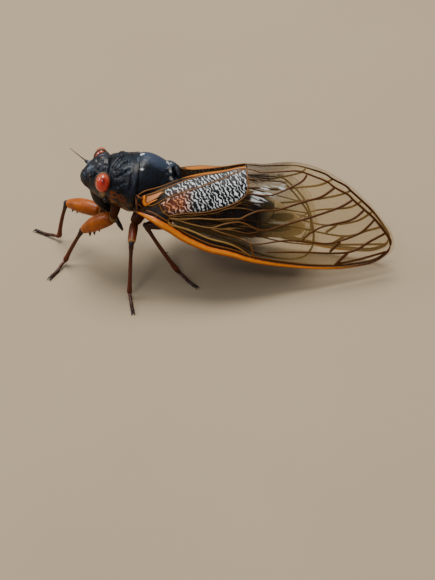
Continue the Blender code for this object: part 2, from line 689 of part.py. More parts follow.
def make_leg(kind, side_name):
    """Femur, tibia and tarsus, which meet face to face at the knee and ankle."""
    side = SIDES[side_name]
    x, y, z = COXA_ROOT[kind]
    path = [body_point(x, side * y, z), *leg_path(f"{kind}_{side_name}")]
    _, thick, knee_thick, tibia_thick, tarsus_thick = LEG_THICKNESS[kind]
    hip, knee, ankle = [joint_normal(path, k) for k in (1, 2, 3)]
    start, bend, heel, toe = path[1:]
    half = GAP / 2

    begin, end = start + hip * half, bend - knee * half
    axis, length = (end - begin).normalized(), (end - begin).length
    low = mitre_share(thick, axis, hip, length)
    high = 1 - mitre_share(knee_thick, axis, knee, length)
    shares = [share for share, _ in FEMUR_SHAPE + KNEE_SHAPE]
    shares = [shares[0], *[min(max(share, low), high) for share in shares[1:-1]], shares[-1]]
    points = [begin.lerp(end, share) for share in shares]
    sizes = [thick * size for _, size in FEMUR_SHAPE] + [knee_thick * size for _, size in KNEE_SHAPE]
    femur = add_object(f"{kind}_femur_{side_name}", tube(points, sizes, hip, knee), "orange")
    if kind == "fore":
        combine(femur, femur_spines(begin, end, heel, thick), "UNION")

    begin, end = bend + knee * half, heel - ankle * half
    points = [begin.lerp(end, share) for share, _ in TIBIA_SHAPE]
    sizes = [tibia_thick * size for _, size in TIBIA_SHAPE]
    add_object(f"{kind}_tibia_{side_name}", tube(points, sizes, knee, ankle), "brown")

    begin = heel + ankle * half
    resting = begin.lerp(toe, TARSUS_REST)
    resting.z = tarsus_thick * TARSUS_SINK
    points = [begin, resting, toe]
    sizes = [tarsus_thick * size for size in TARSUS_SHAPE]
    tarsus = add_object(f"{kind}_tarsus_{side_name}", tube(points, sizes, ankle, None, floor=0.0), "brown")
    combine(tarsus, claws(resting, toe), "UNION")


def femur_spines(start, end, heel, thick):
    """Stout spines under the fore femur, nearer the knee than the hip."""
    axis = (end - start).normalized()
    under = (heel - end) - axis * (heel - end).dot(axis)
    under.normalize()
    spines = []
    for place, length in FEMUR_SPINES:
        root = start.lerp(end, place) + under * thick * SPINE_ROOT_DEPTH
        down, forward = SPINE_SLANT
        tip = root + (under * down + axis * forward) * (thick * SPINE_SINK + length)
        spines.append(add_object("spine", tube([root, tip], SPINE_THICKNESS, count=SMALL_SEGMENTS), "brown"))
    return spines


def claws(ankle, toe):
    """A pair of hooked claws that spread from the toe and rest on the floor."""
    ahead = (toe - ankle)
    ahead.z = 0
    ahead.normalize()
    aside = Vector((-ahead.y, ahead.x, 0))
    made = []
    for side in (-1, 1):
        root = toe - ahead * CLAW_ROOT_BACK
        middle, tip = [
            toe + (ahead * forward + aside * side * outward) * CLAW_LENGTH
            for forward, outward in (CLAW_MIDDLE, CLAW_TIP)
        ]
        tip.z = CLAW_TIP_Z
        claw = tube([root, middle, tip], CLAW_THICKNESS, count=SMALL_SEGMENTS, floor=0.0)
        made.append(add_object("claw", claw, "black"))
    return made


def build():
    clear_scene()
    make_head()
    make_rostrum()
    make_prothorax()
    make_mesothorax()
    make_abdomen()
    for side_name, side in SIDES.items():
        eye_solid(f"eye_{side_name}", side, 0.0)
        make_antenna(side_name)
        fore_veins = [COSTA, AMBIENT, *FOREWING_VEINS.values()]
        make_wing(f"forewing_{side_name}", side, FOREWING_OUTLINE, fore_veins, 1, 0.0)
        hind_veins = list(HINDWING_VEINS.values())
        make_wing(f"hindwing_{side_name}", side, HINDWING_OUTLINE, hind_veins, 0, HINDWING_DEPTH)
        for kind in LEG_THICKNESS:
            make_leg(kind, side_name)


build()
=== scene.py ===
"""The looks of a periodical cicada at rest: shell, eyes, legs and clear veined wings.

The shapes are worked out in millimetres. The body has its own frame, in which x runs
back from the front of the head, y to the insect's right and z up from the long axis.
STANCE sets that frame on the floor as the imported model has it.
"""

import math

import bmesh
import bpy
import numpy as np
from mathutils import Matrix, Vector

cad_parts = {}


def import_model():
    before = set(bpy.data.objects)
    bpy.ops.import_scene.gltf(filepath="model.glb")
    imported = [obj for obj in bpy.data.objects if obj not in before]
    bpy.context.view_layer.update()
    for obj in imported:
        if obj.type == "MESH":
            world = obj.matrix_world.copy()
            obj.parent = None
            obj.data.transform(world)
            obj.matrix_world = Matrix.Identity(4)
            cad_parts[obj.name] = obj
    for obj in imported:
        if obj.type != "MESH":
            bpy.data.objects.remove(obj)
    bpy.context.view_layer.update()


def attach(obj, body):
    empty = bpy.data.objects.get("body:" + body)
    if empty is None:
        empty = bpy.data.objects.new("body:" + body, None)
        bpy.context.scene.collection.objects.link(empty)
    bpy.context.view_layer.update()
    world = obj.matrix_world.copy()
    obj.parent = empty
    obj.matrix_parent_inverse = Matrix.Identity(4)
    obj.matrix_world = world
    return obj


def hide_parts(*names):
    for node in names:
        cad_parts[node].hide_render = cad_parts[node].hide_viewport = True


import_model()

MM = 0.001

# Stance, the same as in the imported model.
PITCH = math.radians(10)
ROLL = math.radians(-13.5)
BODY_CENTRE = 20.0
BODY_PLACE = Vector((2.04, 6.61, 10.8))
FOOTPRINT_CENTRE = Vector((-1.324, 7.107, 0.0))
STANCE = (
    Matrix.Translation(BODY_PLACE - FOOTPRINT_CENTRE)
    @ Matrix.Rotation(PITCH, 4, "Y")
    @ Matrix.Rotation(ROLL, 4, "X")
    @ Matrix.Translation((-BODY_CENTRE, 0, 0))
)
STANCE_TURN = np.array(STANCE.to_3x3())
STANCE_PLACE = np.array(STANCE.translation)
NECK = Vector((3.05, 0.0, -0.3))
HEAD_TURN = math.radians(4.5)
HEAD_TILT = math.radians(3.6)
HEAD_STANCE = (
    STANCE
    @ Matrix.Translation(NECK)
    @ Matrix.Rotation(HEAD_TURN, 4, "Z")
    @ Matrix.Rotation(HEAD_TILT, 4, "X")
    @ Matrix.Translation(-NECK)
)

SIDES = {"left": -1, "right": 1}

# Camera: it looks down at the floor point that the photo has at its centre.
CAMERA_AIM = -FOOTPRINT_CENTRE
CAMERA_AZIMUTH = math.radians(1)
CAMERA_ELEVATION = math.radians(40)
CAMERA_DISTANCE = 213.0
FOCAL_PIXELS = 1600
PHOTO_HEIGHT_PIXELS = 580
SENSOR = 36.0

# Shell stations: x, half width, top, bottom, height of the widest point.
HEAD = [
    (-0.30, 0.12, -0.15, -0.48, -0.32),
    (-0.24, 0.30, 0.08, -0.68, -0.33),
    (-0.12, 0.52, 0.38, -0.96, -0.35),
    (0.25, 1.00, 1.07, -1.40, -0.35),
    (0.8, 1.47, 1.82, -1.77, -0.30),
    (1.4, 2.15, 2.62, -2.17, -0.15),
    (2.0, 2.80, 2.99, -2.62, 0.10),
    (2.5, 3.12, 3.07, -2.97, 0.25),
    (3.05, 3.10, 2.94, -3.04, 0.25),
    (3.5, 2.60, 2.45, -2.60, 0.15),
]
PRONOTUM = [
    (3.0, 2.90, 2.35, -2.30, 0.10),
    (3.2, 3.30, 2.72, -2.62, 0.10),
    (3.6, 3.62, 2.98, -2.95, 0.05),
    (4.0, 3.90, 3.13, -3.25, 0.00),
    (5.0, 4.25, 3.35, -3.60, -0.10),
    (5.8, 4.44, 3.47, -3.85, -0.20),
    (6.2, 4.57, 3.53, -4.00, -0.30),
    (6.5, 4.71, 3.59, -4.02, -0.30),
    (6.8, 4.74, 3.65, -4.00, -0.30),
    (7.0, 4.60, 3.60, -3.90, -0.30),
    (7.1, 4.25, 3.36, -3.70, -0.30),
]
MESONOTUM = [
    (6.6, 3.60, 3.20, -3.70, -0.60),
    (6.9, 3.95, 3.62, -4.02, -0.60),
    (7.3, 3.98, 3.83, -4.15, -0.70),
    (8.0, 3.80, 3.99, -4.40, -1.00),
    (9.0, 3.38, 3.89, -4.60, -1.60),
    (10.0, 3.05, 3.54, -4.70, -2.00),
    (11.0, 2.88, 3.04, -4.70, -2.40),
    (11.8, 2.75, 2.60, -4.65, -2.60),
    (12.4, 2.62, 2.15, -4.58, -2.70),
    (12.9, 2.40, 1.20, -4.40, -2.70),
    (13.2, 2.10, 0.10, -4.20, -2.70),
]
ABDOMEN = [
    (12.5, 2.90, -0.10, -4.50, -2.50),
    (13.0, 3.35, 0.45, -4.95, -2.50),
    (15.0, 3.60, 0.95, -5.40, -2.60),
    (18.0, 3.45, 1.15, -5.65, -2.80),
    (21.0, 3.05, 0.95, -5.50, -3.00),
    (24.0, 2.65, 0.45, -5.20, -3.00),
    (26.5, 2.05, -0.30, -4.85, -3.00),
    (28.5, 1.40, -1.30, -4.45, -3.10),
    (29.8, 0.75, -2.30, -3.95, -3.10),
    (30.2, 0.30, -2.85, -3.45, -3.15),
]
ABDOMEN_FIRST_RING = 12.9
ABDOMEN_RING_PITCH = 1.8

EYE_CENTRE = (2.31, 3.80, 0.85)
EYE_RADII = (0.93, 1.15, 1.26)
EYE_RIM_DEPTH = 0.38

BEAK = [(1.9, 0.0, -1.7), (2.45, 0.0, -3.25), (3.3, 0.0, -4.1), (4.35, 0.0, -4.8)]
ROSTRUM = [(4.3, 0.0, -4.75), (5.2, 0.0, -5.9), (6.3, 0.0, -7.4)]
ANTENNAE = {
    "left": ((0.75, -1.6, 0.6), (0.75, -4.3, 0.8)),
    "right": ((0.67, 1.4, 0.82), (-2.02, 3.0, 1.92)),
}

# Forewing sections: x, ridge half spacing, ridge height, slope at the ridge and at the costa.
WING_SECTIONS = [
    (7.5, 4.40, -0.40, 78, 92),
    (10.0, 3.20, 0.80, 38, 88),
    (12.5, 1.90, 1.90, 16, 80),
    (15.0, 1.30, 2.80, 12, 76),
    (17.7, 0.85, 3.40, 20, 71),
    (20.8, 0.60, 4.30, 32, 70),
    (25.0, 1.20, 4.50, 54, 74),
    (28.8, 1.25, 4.50, 64, 78),
    (32.0, 1.25, 4.50, 72, 79),
    (34.7, 1.10, 4.50, 75, 81),
    (37.0, 0.80, 4.50, 76, 82),
    (39.5, 0.40, 4.50, 78, 83),
    (42.0, 0.00, 4.50, 80, 85),
]
# How far down from the ridge the slope goes on turning, and how deep the hindwing lies under it.
TURN_LENGTH = 6.0
HINDWING_DEPTH = 1.12

# Wing outlines and veins: x and the distance down the wing from its ridge line.
FOREWING_UPPER_EDGE = [
    (8.35, 1.4), (8.6, 0.1), (10.0, -0.1), (12.5, -0.1), (15.0, -0.1), (17.7, -0.2), (20.8, -0.3),
    (22.9, -0.4), (25.0, -0.95), (27.2, -1.4), (29.8, -1.0), (32.6, 0.0), (35.6, 1.5),
    (37.3, 2.7), (38.8, 3.8), (40.6, 5.4), (41.9, 6.6), (42.45, 8.0),
]
# The right wing's inner margin lies over the back and shows between the wings.
RIGHT_UPPER_EDGE = FOREWING_UPPER_EDGE[:3] + [
    (12.5, -1.0), (14.0, -2.0), (15.5, -2.0), (17.7, -1.45), (20.8, -0.9),
] + FOREWING_UPPER_EDGE[7:]
INNER_MARGIN = [(12.6, -0.95), (14.0, -1.9), (15.5, -1.9), (17.7, -1.37), (20.8, -0.83)]
FOREWING_LOWER_EDGE = [
    (8.35, 1.4), (8.5, 2.9), (9.8, 4.5), (11.6, 6.8), (13.6, 9.0), (15.7, 10.4), (18.7, 11.5),
    (21.7, 12.2), (24.8, 12.2), (27.7, 12.15), (31.9, 12.0), (34.9, 11.75), (37.0, 11.4), (39.9, 10.65),
    (41.6, 9.5), (42.25, 8.7), (42.45, 8.0),
]
COSTA = [
    (7.6, 2.05), (8.6, 2.95), (9.8, 4.2), (11.65, 6.45), (13.7, 8.7), (15.75, 10.1), (18.7, 11.2),
    (21.75, 11.95), (24.8, 11.9), (27.7, 11.9), (30.9, 11.8), (34.9, 11.5), (36.9, 11.15), (39.8, 10.4),
    (41.5, 9.1), (41.85, 8.0),
]
CLAVAL_MARGIN = [
    (8.25, 0.15), (9.4, 0.4), (10.7, 0.55), (12.0, 0.65), (13.1, 0.65), (14.4, 0.55), (16.2, 0.35),
    (18.2, 0.15), (20.9, 0.05),
]
CLAVAL_SUTURE = [
    (8.8, 1.75), (9.5, 2.1), (10.9, 2.15), (12.7, 2.5), (15.1, 2.4), (17.0, 1.65), (18.9, 0.9), (20.9, 0.05),
]
CUBITUS = [
    (11.65, 4.9), (13.0, 5.4), (15.5, 5.9), (17.4, 5.65), (19.3, 5.2), (20.5, 4.6), (21.2, 3.8),
    (21.35, 2.8), (21.2, 1.7), (20.9, 0.05),
]
BASAL_CELL = [(10.1, 2.1), (10.8, 3.8), (11.65, 4.9), (11.8, 5.35), (11.6, 5.65)]
RADIUS = [(11.6, 5.65), (12.6, 6.8), (16.0, 8.85), (19.4, 10.1), (21.8, 11.0), (23.2, 11.6)]
AMBIENT = [
    (20.9, 0.05), (21.9, 0.25), (22.9, 0.35), (24.2, 0.0), (25.9, -0.4), (27.7, -0.7), (30.0, -0.3),
    (31.6, 0.1), (32.7, 0.7), (34.6, 1.4), (35.4, 2.0), (37.2, 3.2), (38.9, 4.4),
    (40.8, 6.2), (41.65, 7.2), (41.85, 8.0),
]
# Each vein: its path, its half width at the base and at the tip end, and its material.
FOREWING_VEINS = {
    "inner rail": (
        [(7.3, -0.35), (8.2, -0.45), (9.6, -0.2), (10.7, -0.08), (12.4, 0.0)], 0.10, 0.05, "gold",
    ),
    "claval margin": (CLAVAL_MARGIN, 0.10, 0.09, "gold"),
    "hook": ([(8.2, 0.1), (8.15, 0.7), (8.35, 1.3), (8.75, 1.72)], 0.30, 0.26, "costa"),
    "hook arm": ([(8.7, 1.62), (9.2, 1.52), (9.95, 1.6)], 0.17, 0.06, "costa"),
    "claval suture": (CLAVAL_SUTURE, 0.07, 0.08, "gold"),
    "basal cell": (BASAL_CELL, 0.06, 0.07, "gold"),
    "cubitus": (CUBITUS, 0.07, 0.08, "gold"),
    "second cubitus": (
        [(11.8, 5.2), (13.6, 5.85), (16.2, 6.15), (19.3, 5.55), (20.8, 4.85)], 0.04, 0.05, "gold",
    ),
    "ambient": (AMBIENT, 0.09, 0.19, "vein"),
    "cubitus branch": (
        [(21.25, 3.6), (24.3, 3.1), (27.0, 1.5), (28.4, 0.4), (28.8, -0.5)], 0.08, 0.15, "vein",
    ),
    "media": (
        [
            (11.8, 5.35), (13.6, 6.3), (16.3, 6.75), (18.9, 6.95), (20.8, 7.0), (21.6, 6.5), (23.4, 5.35),
            (25.7, 4.7), (28.8, 3.2), (31.2, 2.1), (32.7, 0.7),
        ],
        0.07, 0.17, "vein",
    ),
    "lower media": (
        [
            (11.8, 5.35), (14.5, 7.2), (17.1, 7.95), (18.9, 7.6), (21.1, 7.45), (24.0, 7.8), (27.0, 6.5),
            (31.1, 4.6), (34.0, 3.1), (35.4, 2.0),
        ],
        0.07, 0.17, "vein",
    ),
    "media fork": ([(17.1, 7.95), (19.4, 8.35), (22.0, 8.7), (24.0, 7.8)], 0.06, 0.07, "vein"),
    "radius": (RADIUS, 0.12, 0.10, "ray"),
    "radial branch": (
        [
            (17.1, 7.95), (19.5, 9.0), (22.6, 9.84), (24.0, 9.6), (26.9, 8.7), (29.5, 8.4), (32.9, 8.3),
            (34.9, 7.7),
        ],
        0.07, 0.13, "vein",
    ),
    "third apical": ([(29.5, 8.4), (31.6, 6.3), (35.7, 4.7), (37.2, 3.2)], 0.09, 0.17, "vein"),
    "fourth apical": ([(34.9, 7.7), (37.4, 6.3), (38.9, 4.4)], 0.14, 0.17, "vein"),
    "node": ([(22.6, 9.84), (23.1, 10.6), (23.6, 11.7)], 0.11, 0.15, "gold"),
    "radial sector": (
        [(25.0, 10.5), (30.3, 9.8), (36.2, 9.2), (39.0, 7.4), (40.8, 6.2)], 0.08, 0.18, "vein",
    ),
    "inner crossing": ([(34.9, 7.7), (33.6, 9.4)], 0.17, 0.19, "vein"),
    "outer crossing": ([(36.2, 9.2), (34.6, 11.2)], 0.22, 0.17, "vein"),
    "tip vein": ([(34.6, 11.0), (37.2, 10.3), (41.5, 8.8)], 0.15, 0.16, "vein"),
}
HINDWING_UPPER_EDGE = [
    (9.6, 3.4), (9.9, 2.6), (12.0, 2.2), (15.0, 1.8), (18.5, 1.2), (22.0, 0.6), (24.7, 0.2), (26.4, 0.1),
    (27.9, 0.8), (29.3, 2.0), (30.5, 3.4), (31.3, 4.9), (31.9, 6.6), (32.2, 8.2), (32.25, 8.9),
]
HINDWING_LOWER_EDGE = [
    (9.6, 3.4), (9.8, 4.3), (10.6, 4.7), (12.0, 5.7), (15.0, 8.1), (18.0, 9.8), (21.6, 10.95), (25.1, 11.5),
    (27.3, 11.5), (29.3, 11.4), (30.9, 10.9), (31.9, 9.9), (32.25, 8.9),
]
HINDWING_VEINS = {
    "costa": (
        [
            (10.0, 4.0), (12.2, 5.3), (15.2, 7.6), (18.2, 9.2), (21.8, 10.4), (24.5, 11.0), (27.5, 11.25),
            (29.4, 11.1), (30.9, 10.4), (31.6, 8.9),
        ],
        0.10, 0.15,
    ),
    "rim": (
        [
            (19.0, 1.4), (21.5, 1.1), (23.6, 0.95), (25.0, 0.85), (26.0, 0.9), (27.0, 1.6), (28.6, 3.0),
            (30.1, 4.7), (31.2, 6.9), (31.6, 8.9),
        ],
        0.07, 0.17,
    ),
    "radius": ([(10.0, 3.7), (14.5, 5.6), (19.0, 7.4), (24.0, 8.6), (28.0, 9.0), (31.6, 8.9)], 0.07, 0.09),
    "media": ([(19.0, 7.4), (24.0, 6.9), (31.2, 6.9)], 0.07, 0.09),
    "cubitus": ([(10.0, 3.3), (15.0, 4.0), (21.0, 4.7), (25.0, 4.6), (30.1, 4.7)], 0.07, 0.09),
    "anal": ([(10.0, 3.0), (15.0, 2.9), (20.0, 2.7), (27.0, 1.6)], 0.07, 0.07),
    "inner arc": ([(24.3, 6.9), (25.3, 6.0), (25.6, 4.7)], 0.08, 0.08),
    "outer arc": ([(29.2, 9.0), (30.0, 8.0), (30.4, 6.9)], 0.07, 0.07),
}
MEMBRANE_THICKNESS = 0.05
# Millimetres of the wing's plan in one unit of its map.
PLAN_UNIT = 50.0
# The raised ripples of the folded cells: direction across them, period and height.
RIPPLE_ACROSS = (0.857, -0.515)
RIPPLE_PERIOD = 1.2
RIPPLE_HEIGHT = 0.035
VEIN_SIDES = 10

# Leg joints on the floor's frame: coxa end, knee, ankle, toe. Then the half thickness
# of the coxa, the femur's middle and its knee, the tibia, and the tarsus.
LEGS = {
    "fore_left": ((-13.8, 3.6, 9.2), (-18.15, 5.1, 5.8), (-20.7, 5.05, 0.7), (-22.4, 2.0, 0.25)),
    "fore_right": ((-15.7, 8.0, 6.8), (-20.7, 10.6, 6.2), (-22.0, 10.25, 0.7), (-25.3, 12.1, 0.25)),
    "mid_left": ((-10.95, 2.9, 8.9), (-11.2, -0.2, 7.9), (-11.6, -1.65, 0.7), (-11.0, -4.85, 0.25)),
    "mid_right": ((-11.0, 9.4, 7.6), (-11.4, 13.0, 7.2), (-11.2, 16.2, 0.7), (-9.9, 19.0, 0.25)),
    "hind_left": ((-6.8, 3.2, 8.3), (-9.55, 3.6, 8.0), (-5.3, 2.9, 0.7), (-3.0, 0.5, 0.25)),
    "hind_right": ((-7.1, 8.9, 6.9), (-5.1, 13.2, 4.3), (2.4, 15.4, 0.7), (5.4, 17.2, 0.25)),
}
LEG_THICKNESS = {
    "fore": (0.55, 1.02, 0.44, 0.30, 0.22),
    "mid": (0.72, 0.58, 0.38, 0.29, 0.24),
    "hind": (0.72, 0.58, 0.38, 0.31, 0.23),
}
COXA_ROOT = {
    "fore": (4.9, 1.7, -2.9),
    "mid": (8.3, 1.7, -3.3),
    "hind": (11.65, 1.4, -3.5),
}
# Profiles along a limb: place from 0 to 1, thickness as a share of the limb's own.
FEMUR_PROFILE = [
    (0.0, 0.62), (0.06, 0.80), (0.2, 0.96), (0.42, 1.02), (0.65, 0.94), (0.85, 0.70), (1.0, 0.50),
]
THIN_FEMUR_PROFILE = [(0.0, 0.80), (0.1, 0.92), (0.35, 1.02), (0.7, 0.95), (0.92, 0.86), (1.0, 0.76)]
TIBIA_PROFILE = [
    (0.0, 0.95), (0.05, 1.15), (0.14, 0.95), (0.5, 0.90), (0.85, 1.05), (0.95, 1.22), (1.0, 1.0),
]
TARSUS_PROFILE = [
    (0.0, 0.85), (0.06, 1.0), (0.14, 1.0), (0.19, 0.82), (0.25, 0.98), (0.36, 1.0), (0.41, 0.82),
    (0.48, 0.95), (0.8, 1.0), (0.95, 1.05), (1.0, 0.8),
]
COXA_PROFILE = [(0.0, 1.25), (0.5, 1.12), (0.85, 0.92), (1.0, 0.74)]
# Spines of the fore femur: place along it and length past its skin.
FEMUR_SPINES = ((0.50, 0.22), (0.66, 0.40), (0.80, 0.30))
FORE_FEMUR_LIFT = Vector((0, 0, 0.22))
TIBIA_BOW = 0.18
# Where along the foot it comes down onto the floor, and how clear of it the skin stays.
FOOT_LANDING = 0.62
SOLE_CLEARANCE = 0.02
# Spurs of a tibia: place along it, angle round it and length.
TIBIA_CROWN = [(0.97, k * 1.26, 0.34) for k in range(5)]
TIBIA_SPURS = [(0.45, 0.9, 0.3), (0.6, 4.0, 0.32), (0.75, 1.6, 0.32)]
CLAW_LENGTH = 0.66
SPUR_CLEARANCE = 0.05


def world(point):
    """A point of the body's frame, set into the stance."""
    return STANCE @ Vector(point)


def head_world(point):
    """A point of the head, which is turned a little on the neck."""
    return HEAD_STANCE @ Vector(point)


def floor_point(point):
    """A point of the legs' table, with the middle of the footprint moved to the origin."""
    return Vector(point) - FOOTPRINT_CENTRE


def add_object(name, data):
    made = bpy.data.objects.new(name, data)
    bpy.context.scene.collection.objects.link(made)
    return made


# Mesh helpers


def hermite(x, table):
    """Columns of a table at x, an array or a number, on smooth curves through its rows."""
    rows = np.array(table, float)
    slopes = np.gradient(rows[:, 1:], rows[:, 0], axis=0)
    x = np.asarray(x, float)
    i = np.clip(np.searchsorted(rows[:, 0], x) - 1, 0, len(rows) - 2)
    step = (rows[i + 1, 0] - rows[i, 0])[..., None]
    t = (x - rows[i, 0])[..., None] / step
    return (
        (2 * t**3 - 3 * t**2 + 1) * rows[i, 1:]
        + (t**3 - 2 * t**2 + t) * step * slopes[i]
        + (3 * t**2 - 2 * t**3) * rows[i + 1, 1:]
        + (t**3 - t**2) * step * slopes[i + 1]
    )


def smooth_path(points, spacing):
    """Points at an even spacing on a smooth curve through the given ones."""
    knots = [np.array(p, float) for p in points]
    ends = [knots[0], *knots, knots[-1]]
    path = []
    for a, b, c, d in zip(ends, ends[1:], ends[2:], ends[3:]):
        count = max(1, round(float(np.linalg.norm(c - b)) / spacing))
        for k in range(count):
            t = k / count
            path.append(0.5 * (
                2 * b + (c - a) * t + (2 * a - 5 * b + 4 * c - d) * t**2 + (3 * b - a - 3 * c + d) * t**3
            ))
    path.append(knots[-1])
    return np.array(path)


def world_path(points, spacing, side=1):
    """A smooth path of the body's frame in the stance, mirrored where side is -1."""
    return [world((x, side * y, z)) for x, y, z in smooth_path(points, spacing)]


def taper(path, places, radii):
    """A radius for each point of a path, from radii at places between 0 and 1."""
    return np.interp(np.linspace(0, 1, len(path)), places, radii)


def ring(bm, count, cap):
    """A circle of vertices to be set in place, with a face across it if capped."""
    return bmesh.ops.create_circle(bm, cap_ends=cap, segments=count, radius=1.0)["verts"]


def ring_edges(verts):
    """The edges of a ring that are still open on one side."""
    group = set(verts)
    return list({e for v in verts for e in v.link_edges if set(e.verts) <= group and len(e.link_faces) < 2})


def bridge(bm, rings, material=0):
    """Join rings in order into one closed surface."""
    for first, second in zip(rings, rings[1:]):
        made = bmesh.ops.bridge_loops(bm, edges=ring_edges(first) + ring_edges(second))
        for face in made["faces"]:
            face.material_index = material
    for end in (rings[0], rings[-1]):
        for face in end[0].link_faces:
            face.material_index = material


def limb(bm, points, radii, sides, flat=1.0, up=None, material=0, floor=None):
    """A closed tube through world points, marked with its place along, from 0 to 1.

    flat squeezes it along the up direction, and floor is a height that it stays above.
    """
    mark = bm.verts.layers.float.get("along") or bm.verts.layers.float.new("along")
    last = len(points) - 1
    up = up or Vector((0, 0, 1))
    rings = []
    for index, (point, radius) in enumerate(zip(points, radii)):
        axis = (points[min(index + 1, last)] - points[max(index - 1, 0)]).normalized()
        across = axis.cross(up).normalized()
        rise = across.cross(axis)
        verts = ring(bm, sides, cap=index in (0, last))
        for vert in verts:
            vert.co = point + across * vert.co.x * radius + rise * vert.co.y * radius * flat
            if floor is not None:
                vert.co.z = max(vert.co.z, floor)
            vert[mark] = index / last
        rings.append(verts)
    bridge(bm, rings, material)


def shaped_limb(bm, start, end, profile, thick, steps, sides, bow=None):
    """A limb from start to end whose thickness follows a profile, with rounded ends."""
    places = 0.5 - 0.5 * np.cos(np.linspace(0.0, math.pi, steps))
    share = hermite(places, profile)[:, 0]
    length = (end - start).length
    near_end = np.minimum(places, 1 - places) * length / (thick * 0.5)
    rounding = np.sqrt(np.clip(1 - (1 - np.clip(near_end, 0, 1)) ** 2, 0.02, 1))
    bow = bow or Vector()
    points = [start.lerp(end, t) + bow * (4 * t * (1 - t)) for t in places]
    limb(bm, points, share * rounding * thick, sides)


def ball(bm, centre, radii, turn=STANCE.to_3x3(), sides=20, rows=None, material=0):
    """An ellipsoid in world millimetres, turned with the body unless told otherwise."""
    rows = rows or sides * 2 // 3
    made = bmesh.ops.create_uvsphere(bm, u_segments=sides, v_segments=rows, radius=1.0)
    for vert in made["verts"]:
        vert.co = centre + turn @ Vector([c * r for c, r in zip(vert.co, radii)])
    for face in {f for v in made["verts"] for f in v.link_faces}:
        face.material_index = material


def make_piece(name, bm, materials, replaces=(), sharp=50):
    """Turn a bmesh in millimetres into a finished piece that rides on the body."""
    bmesh.ops.recalc_face_normals(bm, faces=bm.faces[:])
    bmesh.ops.scale(bm, vec=(MM, MM, MM), verts=bm.verts[:])
    mesh = bpy.data.meshes.new(name)
    bm.to_mesh(mesh)
    bm.free()
    for material in materials:
        mesh.materials.append(material)
    mesh.shade_smooth()
    mesh.set_sharp_from_angle(angle=math.radians(sharp))
    piece = add_object(name, mesh)
    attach(piece, "root")
    if replaces:
        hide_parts(*replaces)
    return piece


# Material helpers


def put(tree, value, socket):
    """Link a node's output to the socket, or set the socket to a plain value."""
    if isinstance(value, bpy.types.NodeSocket):
        tree.links.new(value, socket)
    else:
        socket.default_value = value


def add_node(tree, kind, inputs=None, **settings):
    """Add a node, set its properties, and link or set its inputs."""
    made = tree.nodes.new(kind)
    for key, value in settings.items():
        setattr(made, key, value)
    for key, value in (inputs or {}).items():
        put(tree, value, made.inputs[key])
    return made


def colour_of(red, green, blue):
    """A linear colour from the 0 to 255 values that a screen shows."""
    shares = [value / 255 for value in (red, green, blue)]
    return tuple(((c + 0.055) / 1.055) ** 2.4 if c > 0.04 else c / 12.92 for c in shares) + (1.0,)


def new_material(name, sockets):
    """A material whose Principled shader has the given plain values."""
    made = bpy.data.materials.new(name)
    made.use_nodes = True
    shader = made.node_tree.nodes["Principled BSDF"]
    for key, value in sockets.items():
        shader.inputs[key].default_value = value
    return made, made.node_tree, shader


def mapped(tree, place, **settings):
    """A place that a Mapping node moves, turns or scales."""
    return add_node(tree, "ShaderNodeMapping", {"Vector": place, **settings}).outputs[0]


def object_mm(tree):
    """Object coordinates in millimetres."""
    place = add_node(tree, "ShaderNodeTexCoord").outputs["Object"]
    return mapped(tree, place, Scale=(1 / MM, 1 / MM, 1 / MM))


def body_mm(tree, stance=STANCE):
    """Object coordinates turned into the body's or the head's own frame, in millimetres."""
    inverse = stance.inverted()
    return mapped(tree, object_mm(tree), Rotation=inverse.to_euler(), Location=inverse.translation)


def maths(tree, operation, *values):
    return add_node(tree, "ShaderNodeMath", dict(enumerate(values)), operation=operation).outputs[0]


def vector_maths(tree, operation, *values):
    return add_node(tree, "ShaderNodeVectorMath", dict(enumerate(values)), operation=operation).outputs[0]


def axes(tree, place):
    """The x, y and z of a place."""
    return tuple(add_node(tree, "ShaderNodeSeparateXYZ", {0: place}).outputs)


def attribute(tree, name):
    return add_node(tree, "ShaderNodeAttribute", attribute_name=name).outputs["Fac"]


def noise(tree, place, scale, detail=3.0, **settings):
    """Soft noise from 0 to 1."""
    inputs = {"Vector": place, "Scale": scale, "Detail": detail, **settings}
    return add_node(tree, "ShaderNodeTexNoise", inputs).outputs[0]


def swing(tree, value, span):
    """A value from 0 to 1 turned into one from minus to plus half the span."""
    return maths(tree, "MULTIPLY_ADD", value, span, -span / 2)


def smooth_range(tree, value, low, high, start=0.0, end=1.0):
    inputs = {"Value": value, "From Min": low, "From Max": high, "To Min": start, "To Max": end}
    return add_node(tree, "ShaderNodeMapRange", inputs, interpolation_type="SMOOTHSTEP").outputs[0]


def mix_colour(tree, factor, first, second):
    """Two colours mixed. A colour of three numbers is on the screen's scale from 0 to 255."""
    made = add_node(tree, "ShaderNodeMix", {0: factor}, data_type="RGBA")
    for name, value in (("A", first), ("B", second)):
        socket = [s for s in made.inputs if s.name == name and s.type == "RGBA"][0]
        put(tree, colour_of(*value) if isinstance(value, tuple) and len(value) == 3 else value, socket)
    return [s for s in made.outputs if s.type == "RGBA"][0]


